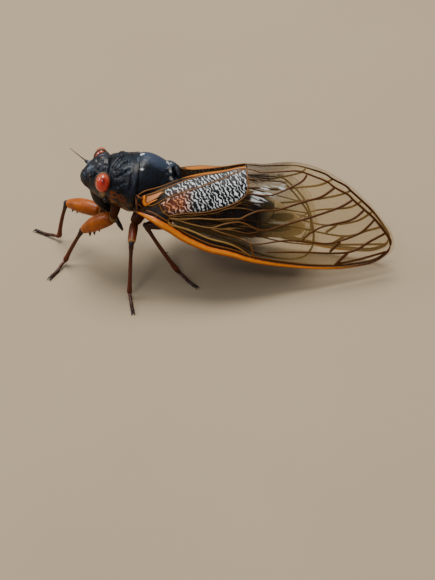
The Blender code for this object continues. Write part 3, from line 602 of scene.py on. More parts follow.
def shell_grain_group():
    """Node group: the fine punctures and wrinkles of an insect's shell, as a height and a mask."""
    tree = bpy.data.node_groups.new("shell grain", "ShaderNodeTree")
    for way, kind, name in (
        ("INPUT", "Vector", "Place"), ("INPUT", "Float", "Wrinkle Scale"), ("INPUT", "Float", "Pit Scale"),
        ("OUTPUT", "Float", "Height"), ("OUTPUT", "Float", "Patchiness"),
    ):
        tree.interface.new_socket(name, in_out=way, socket_type=f"NodeSocket{kind}")
    place, wrinkle_scale, pit_scale = tree.nodes.new("NodeGroupInput").outputs[:3]
    wrinkle = noise(tree, place, wrinkle_scale, 4.0, Distortion=0.6)
    pits = add_node(tree, "ShaderNodeTexVoronoi", {"Vector": place, "Scale": pit_scale})
    pit_depth = smooth_range(tree, pits.outputs["Distance"], 0.0, 0.35)
    height = maths(tree, "MULTIPLY_ADD", pit_depth, 0.35, wrinkle)
    patchiness = smooth_range(tree, noise(tree, place, 0.9), 0.35, 0.65)
    add_node(tree, "NodeGroupOutput", {"Height": height, "Patchiness": patchiness})
    return tree


SHELL_GRAIN = shell_grain_group()


def shell_grain(tree, place, wrinkle_scale, pit_scale):
    inputs = {"Place": place, "Wrinkle Scale": wrinkle_scale, "Pit Scale": pit_scale}
    return add_node(tree, "ShaderNodeGroup", inputs, node_tree=SHELL_GRAIN)


def add_bump(tree, shader, height, distance, strength=1.0):
    inputs = {"Height": height, "Distance": distance * MM, "Strength": strength}
    tree.links.new(add_node(tree, "ShaderNodeBump", inputs).outputs[0], shader.inputs["Normal"])


def finish_shell(tree, shader, grain, colour, roughness, relief):
    """Link a shell's colour, and the roughness and the fine relief that follow its grain."""
    height = grain.outputs["Height"]
    tree.links.new(colour, shader.inputs["Base Color"])
    tree.links.new(smooth_range(tree, height, 0.3, 0.9, *roughness), shader.inputs["Roughness"])
    add_bump(tree, shader, height, relief)


def folded_place(tree, body):
    """The body's own coordinates with both sides folded together, so that marks come in pairs."""
    x, y, z = axes(tree, body)
    inputs = {"X": x, "Y": maths(tree, "ABSOLUTE", y), "Z": z}
    return add_node(tree, "ShaderNodeCombineXYZ", inputs).outputs[0]


def spot_mask(tree, place, centre, radii, inner=0.45):
    """1 inside the inner share of an oval spot, fading to 0 at its radii."""
    shares = vector_maths(tree, "DIVIDE", vector_maths(tree, "SUBTRACT", place, centre), radii)
    length = vector_maths(tree, "LENGTH", shares).node.outputs["Value"]
    return smooth_range(tree, length, inner, 1.0, 1.0, 0.0)


# Materials. Their colours are on the screen's scale from 0 to 255.

BLACK = (9, 10, 13)
BLUE_BLACK = (22, 28, 40)
UNDER_BROWN = (44, 22, 8)
UNDER_TAN = (124, 78, 34)


def shell_material(
    name, spots=(), mottled=(), roughness=(0.27, 0.44), stance=STANCE, gloss=0.28, underside=-1.3,
):
    """Black, faintly blue shell with fine relief, and mottled brown below the underside height.

    spots are coloured marks in the body's frame, painted highlights and sheen among them, and mottled ones
    are broken up by black.
    """
    made, tree, shader = new_material(name, {
        "Coat Weight": 0.1, "Coat Roughness": 0.2, "Specular IOR Level": gloss,
    })
    body = body_mm(tree, stance)
    grain = shell_grain(tree, body, 2.6, 7.0)
    ragged = noise(tree, body, 2.2)
    wander = vector_maths(tree, "SUBTRACT", ragged.node.outputs["Color"], (0.5, 0.5, 0.5))
    reach = vector_maths(tree, "MULTIPLY", wander, (0.7, 0.7, 0.7))
    place = vector_maths(tree, "ADD", folded_place(tree, body), reach)
    below = smooth_range(tree, axes(tree, body)[2], underside, underside - 1.0)
    blotches = smooth_range(tree, noise(tree, body, 1.1, 4.0), 0.42, 0.56)
    brown = maths(tree, "MULTIPLY", below, blotches)
    colour = mix_colour(tree, grain.outputs["Patchiness"], BLACK, BLUE_BLACK)
    colour = mix_colour(tree, brown, colour, mix_colour(tree, ragged, UNDER_BROWN, UNDER_TAN))
    broken = smooth_range(tree, ragged, 0.42, 0.54)
    for centre, radii, tint in mottled:
        spot = maths(tree, "MULTIPLY", spot_mask(tree, place, centre, radii), broken)
        colour = mix_colour(tree, spot, colour, tint)
    for centre, radii, tint in spots:
        colour = mix_colour(tree, spot_mask(tree, place, centre, radii), colour, tint)
    finish_shell(tree, shader, grain, colour, roughness, 0.065)
    return made


ABDOMEN_TAIL_MARKS = [
    ((24.3, 1.3, -0.2), (1.4, 2.0, 0.7), BLACK),
    ((26.8, 2.0, -1.35), (2.1, 3.0, 0.55), BLACK),
    ((26.0, 2.0, -2.85), (2.5, 3.0, 0.60), BLACK),
    ((26.6, 2.0, -2.08), (1.8, 3.0, 0.16), (232, 226, 210)),
]


def abdomen_material():
    """Black rings with a brown rear edge, orange-brown plates beneath and a tan tail with black bars."""
    made, tree, shader = new_material("abdomen shell", {"Coat Weight": 0.1, "Specular IOR Level": 0.3})
    body = body_mm(tree)
    x, _, z = axes(tree, body)
    grain = shell_grain(tree, body, 3.2, 8.0)
    along = maths(tree, "SUBTRACT", x, ABDOMEN_FIRST_RING)
    place = maths(tree, "FRACT", maths(tree, "DIVIDE", along, ABDOMEN_RING_PITCH))
    rear_edge = maths(tree, "MULTIPLY", smooth_range(tree, place, 0.80, 0.93), 0.75)
    under = smooth_range(tree, z, -3.9, -4.5)
    under_band = maths(tree, "MULTIPLY", under, smooth_range(tree, place, 0.38, 0.55))
    tail = maths(tree, "MULTIPLY", smooth_range(tree, x, 23.6, 25.6), 0.9)
    colour = mix_colour(tree, grain.outputs["Patchiness"], BLACK, BLUE_BLACK)
    for mask, tint in ((rear_edge, (92, 46, 20)), (under_band, (176, 96, 36)), (tail, (180, 152, 106))):
        colour = mix_colour(tree, mask, colour, tint)
    folded = folded_place(tree, body)
    for centre, radii, tint in ABDOMEN_TAIL_MARKS:
        colour = mix_colour(tree, spot_mask(tree, folded, centre, radii, 0.7), colour, tint)
    finish_shell(tree, shader, grain, colour, (0.32, 0.5), 0.05)
    return made


def eye_material(side):
    """Coral red with tiny facets, darker where the eye is looked into."""
    made, tree, shader = new_material(f"eye {side}", {
        "Roughness": 0.2, "Coat Weight": 0.5, "Coat Roughness": 0.06, "Subsurface Weight": 0.05,
        "Subsurface Scale": 0.0003, "Specular IOR Level": 0.4,
    })
    body = body_mm(tree, HEAD_STANCE)
    place = folded_place(tree, body)
    x, y, z = EYE_CENTRE
    dark = spot_mask(tree, place, (x - 0.05, y + 0.80, z + 0.62), (0.44, 0.6, 0.8), 0.1)
    lower = spot_mask(tree, place, (x, y + 0.75, z - 0.95), (0.75, 0.6, 0.5), 0.1)
    pale = spot_mask(tree, place, (x, y + 1.05, z), (1.0, 1.35, 1.28), 0.62)
    red = mix_colour(tree, noise(tree, body, 4.0), (186, 26, 10), (214, 58, 30))
    colour = mix_colour(tree, pale, (178, 78, 48), red)
    for mask, tint in ((lower, (190, 44, 20)), (dark, (84, 4, 4))):
        colour = mix_colour(tree, mask, colour, tint)
    tree.links.new(colour, shader.inputs["Base Color"])
    facets = add_node(tree, "ShaderNodeTexVoronoi", {"Vector": body, "Scale": 16.0})
    add_bump(tree, shader, facets.outputs["Distance"], 0.010, 0.4)
    return made


def leg_material(name, stops, roughness=0.33, gloss=0.28):
    """Shell whose colour runs along the limb: each stop is a place from 0 to 1 and its colour."""
    made, tree, shader = new_material(name, {
        "Coat Weight": gloss * 0.4, "Coat Roughness": 0.2, "Specular IOR Level": gloss,
    })
    grain = shell_grain(tree, object_mm(tree), 3.0, 9.0)
    patchiness = grain.outputs["Patchiness"]
    place = maths(tree, "ADD", attribute(tree, "along"), swing(tree, patchiness, 0.05))
    ramp = add_node(tree, "ShaderNodeValToRGB", {"Fac": place})
    ramp.color_ramp.interpolation = "EASE"
    elements = ramp.color_ramp.elements
    for index, (stop, *tint) in enumerate(stops):
        element = elements[index] if index < 2 else elements.new(stop)
        element.position = stop
        element.color = colour_of(*tint)
    darker = maths(tree, "MULTIPLY", patchiness, 0.42)
    colour = mix_colour(tree, darker, ramp.outputs["Color"], (78, 32, 8))
    finish_shell(tree, shader, grain, colour, (roughness - 0.06, roughness + 0.1), 0.03)
    return made


def plain_shell(name, tint, roughness=0.35):
    """Shell of one colour, mottled with a darker shade of it."""
    made, tree, shader = new_material(name, {"Coat Weight": 0.1, "Specular IOR Level": 0.35})
    grain = shell_grain(tree, object_mm(tree), 3.5, 9.0)
    dark = tuple(c * 0.55 for c in colour_of(*tint)[:3]) + (1.0,)
    colour = mix_colour(tree, grain.outputs["Patchiness"], dark, tint)
    finish_shell(tree, shader, grain, colour, (roughness, roughness + 0.12), 0.03)
    return made


def vein_material(name, near, far, start, end):
    """Veins that darken from near the body to the wing tip, between two places along the body."""
    made, tree, shader = new_material(name, {"Roughness": 0.42, "Specular IOR Level": 0.2})
    body = body_mm(tree)
    blotch = noise(tree, body, 1.3)
    along = maths(tree, "ADD", axes(tree, body)[0], swing(tree, blotch, 3.0))
    colour = mix_colour(tree, smooth_range(tree, along, start, end), near, far)
    tree.links.new(colour, shader.inputs["Base Color"])
    add_bump(tree, shader, blotch, 0.03)
    return made


def costa_material():
    """Golden vein with a painted highlight along its crest and dark edges, turning brown toward the tip."""
    made, tree, shader = new_material("costa", {
        "Roughness": 0.36, "Coat Weight": 0.15, "Specular IOR Level": 0.3,
    })
    body = body_mm(tree)
    grain = noise(tree, body, 1.5)
    across = maths(tree, "ADD", attribute(tree, "across"), swing(tree, grain, 0.5))
    place = maths(tree, "ABSOLUTE", across)
    # The lighter crest is a painted highlight.
    colour = mix_colour(tree, smooth_range(tree, place, 0.0, 0.55), (234, 144, 14), (204, 100, 2))
    edge = smooth_range(tree, place, 0.62, 1.0)
    outward = smooth_range(tree, axes(tree, body)[0], 33.0, 39.5)
    for mask, tint in ((edge, (98, 42, 2)), (outward, (88, 44, 10))):
        colour = mix_colour(tree, mask, colour, tint)
    tree.links.new(colour, shader.inputs["Base Color"])
    add_bump(tree, shader, grain, 0.03)
    return made


# The painted silvery reflections on the folds: their slant in the wing's plan, and the spacing from one to
# the next in mm.
FOLD_SLANT = math.radians(31)
FOLD_SPACING = 0.43


def fold_glint_pattern(tree, in_mm):
    """Slanting, kinked folds painted silvery as reflected light: a mask that breaks up into short lengths."""
    turned = mapped(tree, in_mm, Rotation=(0, 0, FOLD_SLANT))
    wander = swing(tree, noise(tree, in_mm, 1.5, 2.5), 1.2)
    across = maths(tree, "ADD", axes(tree, turned)[0], wander)
    wave = maths(tree, "SINE", maths(tree, "MULTIPLY", across, 2 * math.pi / FOLD_SPACING))
    level = maths(tree, "MULTIPLY_ADD", noise(tree, in_mm, 1.8, 2.0), 2.4, -1.15)
    return smooth_range(tree, maths(tree, "ADD", wave, level), 0.35, 0.95)


def streaks(tree, in_mm, slant, scale, distortion, low, high):
    """Long fine streaks at a slant in degrees: noise stretched along them."""
    stretched = mapped(tree, in_mm, Rotation=(0, 0, math.radians(slant)), Scale=scale)
    return smooth_range(tree, noise(tree, stretched, 1.0, Distortion=distortion), low, high)


# Masks painted on the wings; some of them are painted shade and painted glare.
MEMBRANE_MARKS = ("folds", "dark", "lobe", "glare_creases", "pink", "painted_shade", "olive_painted_shade", "gold")
MARK_COVER = {"folds": 0.86, "dark": 1.0, "lobe": 1.0, "gold": 0.9, "painted_shade": 0.92}


def membrane_material(name, near_alpha, far_alpha):
    """Amber membrane with painted masks for its marks: dark near the body, partly from its own deeper amber
    and partly as painted shade, and clear toward the tip.
    """
    made, tree, shader = new_material(name, {"IOR": 1.5, "Specular IOR Level": 0.25})
    plan = add_node(tree, "ShaderNodeUVMap", uv_map="plan").outputs[0]
    in_mm = mapped(tree, plan, Scale=(PLAN_UNIT, PLAN_UNIT, 1.0))
    x = axes(tree, in_mm)[0]
    marks = {mark: attribute(tree, mark) for mark in MEMBRANE_MARKS}
    tone = noise(tree, in_mm, 0.25)
    outward = smooth_range(tree, x, 22.5, 30.5)
    # Painted reflections: silvery streaks over the folded cells, which also give them a little relief.
    silver_fold_glints = maths(tree, "MULTIPLY", fold_glint_pattern(tree, in_mm), marks["folds"])
    # Painted glare: fine white streaks over the wrinkled cells.
    fine_glare_streaks = streaks(tree, in_mm, 38, (0.35, 2.6, 1.0), 0.4, 0.46, 0.57)
    crease_glare = maths(tree, "MULTIPLY", fine_glare_streaks, marks["glare_creases"])
    golden_rays = streaks(tree, in_mm, -9, (0.10, 3.4, 1.0), 0.2, 0.53, 0.66)
    near_base = maths(tree, "MULTIPLY", golden_rays, smooth_range(tree, x, 19.5, 25.0, 1.0, 0.0))
    ray = maths(tree, "MULTIPLY", near_base, maths(tree, "SUBTRACT", 1.0, marks["folds"]))
    # Painted shade over the cells round the node, fading out toward the tip.
    olive_painted_shade = maths(tree, "MULTIPLY", marks["olive_painted_shade"], smooth_range(tree, x, 20.5, 26.8, 1.0, 0.0))

    # Near the body the amber is dark partly from its own deeper tint and partly as painted shade of the
    # shadowed floor and body under the wing.
    near_amber_and_shade = mix_colour(tree, tone, (30, 18, 9), (60, 38, 18))
    far_amber = mix_colour(tree, tone, (208, 162, 76), (238, 206, 134))
    colour = mix_colour(tree, outward, near_amber_and_shade, far_amber)
    # Among these marks, the near-black costal cells and the dull brown cells round the node are painted
    # shade, and the silvery streaks of the folded and wrinkled cells are painted reflections of light.
    for mask, tint in (
        (ray, (178, 132, 66)),
        (marks["painted_shade"], (30, 14, 3)),
        (olive_painted_shade, mix_colour(tree, tone, (34, 22, 4), (74, 52, 14))),
        (marks["folds"], mix_colour(tree, marks["pink"], (20, 22, 26), (92, 40, 12))),
        (maths(tree, "MAXIMUM", silver_fold_glints, crease_glare),
         mix_colour(tree, marks["pink"], (226, 230, 230), (212, 134, 88))),
        (marks["dark"], (20, 9, 7)),
        (marks["lobe"], (214, 140, 90)),
        (marks["gold"], mix_colour(tree, tone, (150, 78, 14), (196, 122, 40))),
    ):
        colour = mix_colour(tree, mask, colour, tint)
    tree.links.new(colour, shader.inputs["Base Color"])
    tree.links.new(smooth_range(tree, x, 14.0, 24.0, 0.5, 0.25), shader.inputs["Roughness"])

    shine = add_node(tree, "ShaderNodeFresnel", {"IOR": 1.25}).outputs[0]
    veil_inputs = {"Value": outward, "To Min": near_alpha, "To Max": far_alpha}
    veil = add_node(tree, "ShaderNodeMapRange", veil_inputs).outputs[0]
    alpha = maths(tree, "ADD", veil, maths(tree, "MULTIPLY", shine, 0.4))
    cover = [(silver_fold_glints, 0.97), (crease_glare, 0.9), (ray, 0.55), (olive_painted_shade, 0.76)]
    cover += [(marks[mark], share) for mark, share in MARK_COVER.items()]
    for mask, share in cover:
        alpha = maths(tree, "MAXIMUM", alpha, maths(tree, "MULTIPLY", mask, share))
    tree.links.new(alpha, shader.inputs["Alpha"])
    height = maths(tree, "ADD", noise(tree, in_mm, 0.8, 2.0), maths(tree, "MULTIPLY", silver_fold_glints, 0.5))
    add_bump(tree, shader, height, 0.10, 0.8)
    return made


def floor_material():
    made, tree, shader = new_material("pale floor", {"Roughness": 0.85})
    cloud = noise(tree, object_mm(tree), 0.02)
    colour = mix_colour(tree, cloud, (155, 137, 111), (167, 149, 123))
    tree.links.new(colour, shader.inputs["Base Color"])
    return made


# The blue-grey spot on the brow plate and the faint one on the crown are painted sheen; the pale patch below
# the eye is the head's own colour.
SHELL = shell_material("head shell", [
    ((0.80, 0.95, 1.15), (0.85, 0.85, 0.8), (80, 90, 102)),
    ((2.2, 1.4, 2.3), (0.7, 0.9, 0.5), (30, 34, 41)),
    ((0.4, 0.9, -0.8), (0.9, 1.3, 1.0), (30, 19, 15)),
    ((3.05, 2.75, -1.5), (1.05, 0.95, 0.9), (146, 116, 80)),
], stance=HEAD_STANCE, gloss=0.32)
# The bluish-grey spots and the bluish mottled patch are painted highlights and sheen on the collar, the top
# and the swellings; the orange-brown mottled patches are the pronotum's own colour below.
PRONOTUM_SHELL = shell_material("pronotum shell", [
    ((6.85, 1.2, 3.45), (0.36, 1.0, 0.6), (56, 68, 80)),
    ((5.2, 0.8, 3.35), (1.1, 0.7, 0.5), (26, 33, 42)),
    ((4.6, 3.4, 1.7), (0.6, 0.5, 0.4), (24, 30, 39)),
    ((5.8, 4.2, 0.8), (0.45, 0.4, 0.5), (30, 36, 44)),
], mottled=[
    ((5.4, 2.2, 2.6), (1.5, 2.0, 1.3), (40, 49, 60)),
    ((4.2, 3.9, -0.9), (1.0, 1.1, 0.9), (122, 58, 16)),
    ((5.3, 4.1, -1.1), (1.0, 0.9, 0.8), (104, 48, 12)),
    ((4.3, 3.1, -2.2), (1.0, 0.9, 0.8), (132, 78, 30)),
], gloss=0.17, underside=-1.2)
# The broad bluish spot over the top is painted sheen, and the small white and grey spots at the front and
# beside the raised cross are painted glints.
MESONOTUM_SHELL = shell_material("mesonotum shell", [
    ((9.4, 0.3, 3.6), (3.2, 2.4, 1.7), (50, 60, 78)),
    ((7.25, 0.0, 3.78), (0.44, 0.30, 0.4), (222, 228, 230)),
    ((7.30, 2.56, 2.80), (0.34, 0.17, 0.17), (226, 230, 230)),
    ((10.75, 0.1, 3.15), (0.42, 0.42, 0.5), (214, 216, 208)),
    ((11.05, 1.12, 2.60), (0.44, 0.36, 0.45), (214, 216, 208)),
    ((11.4, 1.75, 1.8), (0.34, 0.34, 0.42), (130, 128, 118)),
], roughness=(0.32, 0.48), gloss=0.24, underside=-0.9)
ABDOMEN_SHELL = abdomen_material()
DARK_SHELL = plain_shell("dark shell", (28, 17, 11), 0.42)
TAN_SHELL = plain_shell("tan hinge", (116, 62, 18))
CREAM_MEMBRANE = plain_shell("cream joint", (150, 112, 62), 0.5)
CLAW_BLACK = plain_shell("claw", (24, 15, 13), 0.3)
SPINE_BROWN = plain_shell("spine", (64, 28, 14))
ORBIT = plain_shell("eye rim", (104, 84, 64), 0.45)
OCELLUS = plain_shell("small eye", (96, 18, 14), 0.2)
FEMUR_SKINS = {
    "fore": leg_material("fore femur", [
        (0.0, 92, 38, 4), (0.12, 150, 70, 4), (0.6, 174, 86, 4), (0.9, 176, 90, 14), (1.0, 56, 22, 5),
    ]),
    "mid": leg_material("thin femur", [
        (0.0, 16, 10, 7), (0.25, 78, 32, 6), (0.75, 120, 50, 8), (0.88, 184, 132, 66), (1.0, 24, 11, 7),
    ]),
    # The hind femora are painted dark brown as shade, since they lie in the shadow under the wings.
    "hind": leg_material("hind femur painted in shade", [(0.0, 18, 10, 7), (0.6, 44, 20, 9), (1.0, 20, 11, 8)]),
}
TIBIA = leg_material("tibia", [
    (0.0, 22, 10, 7), (0.2, 50, 20, 10), (0.5, 92, 36, 12), (0.85, 102, 38, 12), (1.0, 40, 16, 9),
])
TARSUS = leg_material("tarsus", [(0.0, 70, 26, 10), (1.0, 20, 11, 9)])
COXA = leg_material("coxa", [(0.0, 34, 17, 6), (0.7, 62, 29, 9), (1.0, 104, 50, 14)], 0.5, 0.12)
WING_VEIN_MATERIALS = {
    "costa": costa_material(),
    "shade": vein_material("costa shade", (60, 25, 4), (50, 22, 5), 30.0, 40.0),
    "gold": vein_material("gold vein", (124, 78, 30), (110, 64, 20), 18.0, 26.0),
    "ray": vein_material("pale vein", (158, 122, 62), (140, 88, 30), 18.0, 24.0),
    "vein": vein_material("vein", (142, 104, 56), (84, 44, 4), 14.0, 26.0),
}
HIND_VEIN_BROWN = vein_material("hind vein", (112, 68, 24), (58, 28, 5), 18.0, 25.0)
FORE_MEMBRANE = membrane_material("forewing membrane", 0.13, 0.17)
HIND_MEMBRANE = membrane_material("hindwing membrane", 0.05, 0.10)


# Body


def falloff(distance, reach):
    """1 at no distance or a negative one, easing to 0 at reach."""
    return (1 - np.clip(np.asarray(distance) / reach, 0, 1) ** 2) ** 2


def segment_distance(points, a, b):
    """How far each point lies from the straight length between a and b."""
    along = b - a
    t = np.clip(((points - a) @ along) / max(along @ along, 1e-9), 0, 1)
    return np.linalg.norm(points - (a + t[:, None] * along), axis=1)


def line_distance(points, path):
    """How far each point lies from a path of short straight lengths."""
    return np.min([segment_distance(points, a, b) for a, b in zip(path, path[1:])], axis=0)


def point_distance(points, centre, radii=(1, 1, 1)):
    """How far each point lies from a centre, as a share of the radii."""
    return np.linalg.norm((points - np.array(centre)) / np.array(radii), axis=1)


def top_of(stations, x, y):
    """The height of a shell's upper surface at a plan point."""
    half_width, top, _, waist = hermite(x, stations)
    return float(waist + (top - waist) * math.sqrt(max(0.0, 1 - (y / half_width) ** 2)))


def on_top(stations, plan):
    """A plan path laid on a shell's upper surface, as an even smooth path."""
    return smooth_path([(x, y, top_of(stations, x, y)) for x, y in plan], 0.25)


def shell(name, stations, spacing, segments, relief, material, replaces, stance=STANCE):
    """A closed plate through oval rings, with relief raised along its normals."""
    bm = bmesh.new()
    first, last = stations[0][0], stations[-1][0]
    places = np.linspace(first, last, max(3, round((last - first) / spacing)))
    rings = []
    for index, (x, row) in enumerate(zip(places, hermite(places, stations))):
        half_width, top, bottom, waist = row
        verts = ring(bm, segments, cap=index in (0, len(places) - 1))
        for vert in verts:
            reach = (top - waist) if vert.co.y > 0 else (waist - bottom)
            vert.co = (x, half_width * vert.co.x, waist + reach * vert.co.y)
        rings.append(verts)
    bridge(bm, rings)
    bmesh.ops.recalc_face_normals(bm, faces=bm.faces[:])
    bm.normal_update()
    folded = np.array([(v.co.x, abs(v.co.y), v.co.z) for v in bm.verts])
    for vert, rise in zip(bm.verts, relief(folded)):
        vert.co = stance @ (vert.co + vert.normal * float(rise))
    return make_piece(name, bm, [material], replaces)


def carved(points, grooves=(), swellings=()):
    """The relief of grooves (path, depth, reach) and of oval swellings (centre, radii, height)."""
    rise = np.zeros(len(points))
    for path, depth, reach in grooves:
        rise -= depth * falloff(line_distance(points, path), reach)
    for centre, radii, height in swellings:
        rise += height * falloff(point_distance(points, centre, radii), 1.0)
    return rise


FACE_GROOVES = [
    (on_top(HEAD, [(0.15, 0.25), (0.55, 0.5), (0.95, 0.35)]), 0.10, 0.20),
    (on_top(HEAD, [(0.95, 1.45), (1.25, 1.1), (1.4, 0.5)]), 0.22, 0.24),
]
FACE_SWELLINGS = [
    ((0.72, 0.95, 1.10), (0.7, 0.62, 0.75), 0.26),
    ((1.25, 1.75, 1.20), (0.45, 0.45, 0.5), 0.18),
]
CROWN_GROOVES = [(on_top(HEAD, [(1.6, 1.95), (2.2, 1.75), (2.75, 2.0)]), 0.16, 0.20)]
CROWN_SWELLINGS = [
    ((2.0, 1.35, 2.4), (0.45, 0.5, 0.6), -0.20),
    ((2.0, 0.5, 2.6), (0.55, 0.32, 0.6), 0.12),
    ((2.4, 2.1, 2.0), (0.5, 0.45, 0.6), 0.14),
]
FACE_RIB_PITCH = 0.42


def head_relief(points):
    """The swollen, cross-grooved face, the brow plates and the dents of the crown."""
    x, y, z = points.T
    face = falloff(y - 0.95, 0.6) * falloff(x - 1.3, 0.8) * falloff(z - 0.2, 0.4)
    ribs = np.cos(2 * math.pi * (z + 0.35 * y) / FACE_RIB_PITCH)
    rise = face * (0.06 + 0.05 * ribs * falloff(0.25 - y, 0.2))
    rough = np.sin(x * 9.1 + z * 6.3) * np.sin(y * 8.7 - x * 4.1)
    rough += 0.7 * np.sin(x * 15.1 - y * 11.7 + z * 6.0)
    crown = carved(points, CROWN_GROOVES, CROWN_SWELLINGS) + 0.014 * rough
    crown += 0.07 * falloff(np.abs(x - 2.8), 0.22) - 0.14 * falloff(y, 0.2) * falloff(np.abs(x - 1.8), 1.1)
    return rise + carved(points, FACE_GROOVES, FACE_SWELLINGS) + crown * falloff(0.9 - z, 0.4)


PRONOTUM_GROOVES = [
    (on_top(PRONOTUM, [(5.0, 0.25), (4.4, 1.1), (4.0, 1.85), (3.65, 2.45)]), 0.20, 0.32),
    (on_top(PRONOTUM, [(5.75, 2.9), (5.2, 3.3), (4.7, 3.5), (4.25, 3.55)]), 0.22, 0.30),
    (smooth_path([(5.3, 3.95, 1.1), (4.75, 4.0, 0.6), (4.25, 3.9, 0.3)], 0.2), 0.15, 0.26),
    (smooth_path([(5.2, 4.2, 0.2), (4.7, 4.15, -0.3), (4.2, 3.95, -0.5)], 0.2), 0.12, 0.24),
    (on_top(PRONOTUM, [(5.5, 1.5), (5.0, 2.2), (4.5, 2.75), (4.0, 2.9)]), 0.16, 0.26),
    (on_top(PRONOTUM, [(5.85, 0.5), (5.55, 1.3), (5.6, 2.2)]), 0.08, 0.26),
    (smooth_path([(6.05, 3.6, 2.2), (6.25, 4.3, 1.2), (6.1, 4.4, 0.2)], 0.2), 0.13, 0.24),
]
PRONOTUM_SWELLINGS = [
    ((4.65, 1.75, 2.85), (0.75, 0.6, 0.6), 0.13),
    ((4.3, 0.75, 3.0), (0.6, 0.5, 0.5), 0.09),
    ((4.75, 2.75, 2.3), (0.6, 0.4, 0.5), 0.12),
    ((4.65, 3.75, 1.05), (0.6, 0.4, 0.4), 0.12),
    ((4.7, 4.1, 0.15), (0.55, 0.5, 0.3), 0.10),
    ((5.75, 4.15, 0.85), (0.4, 0.4, 0.42), 0.16),
]


def pronotum_relief(points):
    """Slanting furrows with swellings between them, a middle groove and the raised collar."""
    x, y, z = points.T
    rise = carved(points, PRONOTUM_GROOVES, PRONOTUM_SWELLINGS)
    rise -= 0.09 * falloff(y, 0.13) * falloff(np.abs(x - 4.7), 1.4) * falloff(1.0 - z, 0.5)
    rise -= 0.03 * falloff(np.abs(x - 6.15), 0.16)
    wrinkle = np.sin(x * 7.3 + z * 5.1) * np.sin(y * 5.7 - x * 3.1)
    wrinkle += 0.6 * np.sin(x * 13.1 - y * 9.7 + z * 4.0)
    wrinkle += 0.8 * np.sin(x * 5.3 + y * 9.1 - z * 2.0) * np.sin(z * 8.3 + x * 2.7)
    wrinkle += 0.7 * np.sin(x * 19.0 + y * 14.3) * np.sin(z * 17.0 - x * 9.0)
    return rise + 0.028 * wrinkle * falloff(np.abs(x - 4.9), 1.5)


MESONOTUM_GROOVES = [
    (on_top(MESONOTUM, [(7.3, 0.75), (8.2, 1.15), (9.2, 1.0)]), 0.03, 0.15),
    (on_top(MESONOTUM, [(7.3, 2.0), (8.6, 2.2), (10.0, 1.9), (10.8, 1.5)]), 0.04, 0.15),
    (on_top(MESONOTUM, [(7.15, 0.0), (7.12, 1.5), (7.1, 3.0)]), 0.03, 0.15),
]
MESONOTUM_SWELLINGS = [
    ((12.05, 1.25, 1.9), (0.7, 0.75, 0.9), -0.34),
    ((10.95, 0.0, 3.08), (0.45, 0.5, 0.6), -0.26),
    ((11.6, 0.0, 2.75), (0.5, 0.5, 0.6), 0.12),
    ((11.0, 1.75, 2.2), (0.6, 0.4, 0.5), 0.13),
]


def mesonotum_relief(points):
    """Faint furrows over the dome, and the hollows beside the raised cross."""
    x, _, z = points.T
    above = falloff(-z, 0.8)
    plates = np.sin((x - 7.0) * 2.9) * np.sin((z + 3.0) * 2.3)
    rise = carved(points, MESONOTUM_GROOVES) + above * carved(points, swellings=MESONOTUM_SWELLINGS)
    return rise + 0.07 * plates * (1 - above)


def abdomen_relief(points):
    """Rings that each swell a little and end in a small step over the next."""
    x, _, z = points.T
    place = ((x - ABDOMEN_FIRST_RING) / ABDOMEN_RING_PITCH) % 1.0
    step = 0.13 * place - 0.12 * falloff(np.minimum(place, 1 - place), 0.10)
    groove = -0.06 * falloff(np.abs(z + 3.1), 0.16)
    return (step + groove) * np.clip((ABDOMEN[-1][0] - x) / 2.0, 0, 1)


def make_head():
    """The head's skin, the base of the beak with a dark lobe on each side, and the small eyes."""
    shell("head_shell", HEAD, 0.085, 176, head_relief, SHELL, ["head"], HEAD_STANCE)
    bm = bmesh.new()
    beak = world_path(BEAK, 0.25)
    limb(bm, beak, taper(beak, [0, 0.35, 0.7, 1], [0.95, 0.82, 0.62, 0.42]), sides=28)
    for side in SIDES.values():
        ball(bm, head_world((3.3, side * 2.5, -2.15)), (0.5, 0.5, 0.45))
    make_piece("face_beak", bm, [DARK_SHELL])
    bm = bmesh.new()
    for x, y in ((1.35, 0.0), (1.85, -0.45), (1.85, 0.45)):
        ball(bm, head_world((x, y, top_of(HEAD, x, y))), (0.16, 0.16, 0.15), sides=18)
    make_piece("small_eyes", bm, [OCELLUS])


def make_eye(side_name, side):
    """An eye's globe and the pale rim round its root."""
    x, y, z = EYE_CENTRE
    bm = bmesh.new()
    ball(bm, head_world((x, side * y, z)), EYE_RADII, HEAD_STANCE.to_3x3(), sides=54)
    make_piece(f"eye_{side_name}_globe", bm, [eye_material(side_name)], [f"eye_{side_name}"])
    bm = bmesh.new()
    across, up = 0.97 * EYE_RADII[0], 0.97 * EYE_RADII[2]
    loop = [
        head_world((x + across * math.cos(angle), side * (y - EYE_RIM_DEPTH), z + up * math.sin(angle)))
        for angle in np.linspace(0, 2 * math.pi, 60)
    ]
    limb(bm, loop, [0.13] * len(loop), sides=10, up=(HEAD_STANCE.to_3x3() @ Vector((0, 1, 0))))
    make_piece(f"eye_{side_name}_rim", bm, [ORBIT])


def make_antenna(side_name):
    """Two stout joints and a fine bristle. The near one is held out to the side, over the face."""
    bm = bmesh.new()
    root, tip = [head_world(p) for p in ANTENNAE[side_name]]
    for start, end, thick in ((0.0, 0.13, 0.24), (0.10, 0.22, 0.18)):
        shaped_limb(bm, root.lerp(tip, start), root.lerp(tip, end), COXA_PROFILE, thick, steps=12, sides=14)
    bristle = [root.lerp(tip, 0.18 + 0.82 * t) for t in np.linspace(0, 1, 14)]
    limb(bm, bristle, taper(bristle, [0, 0.3, 1], [0.10, 0.07, 0.03]), sides=10)
    make_piece(f"feeler_{side_name}", bm, [CLAW_BLACK], [f"antenna_{side_name}"])


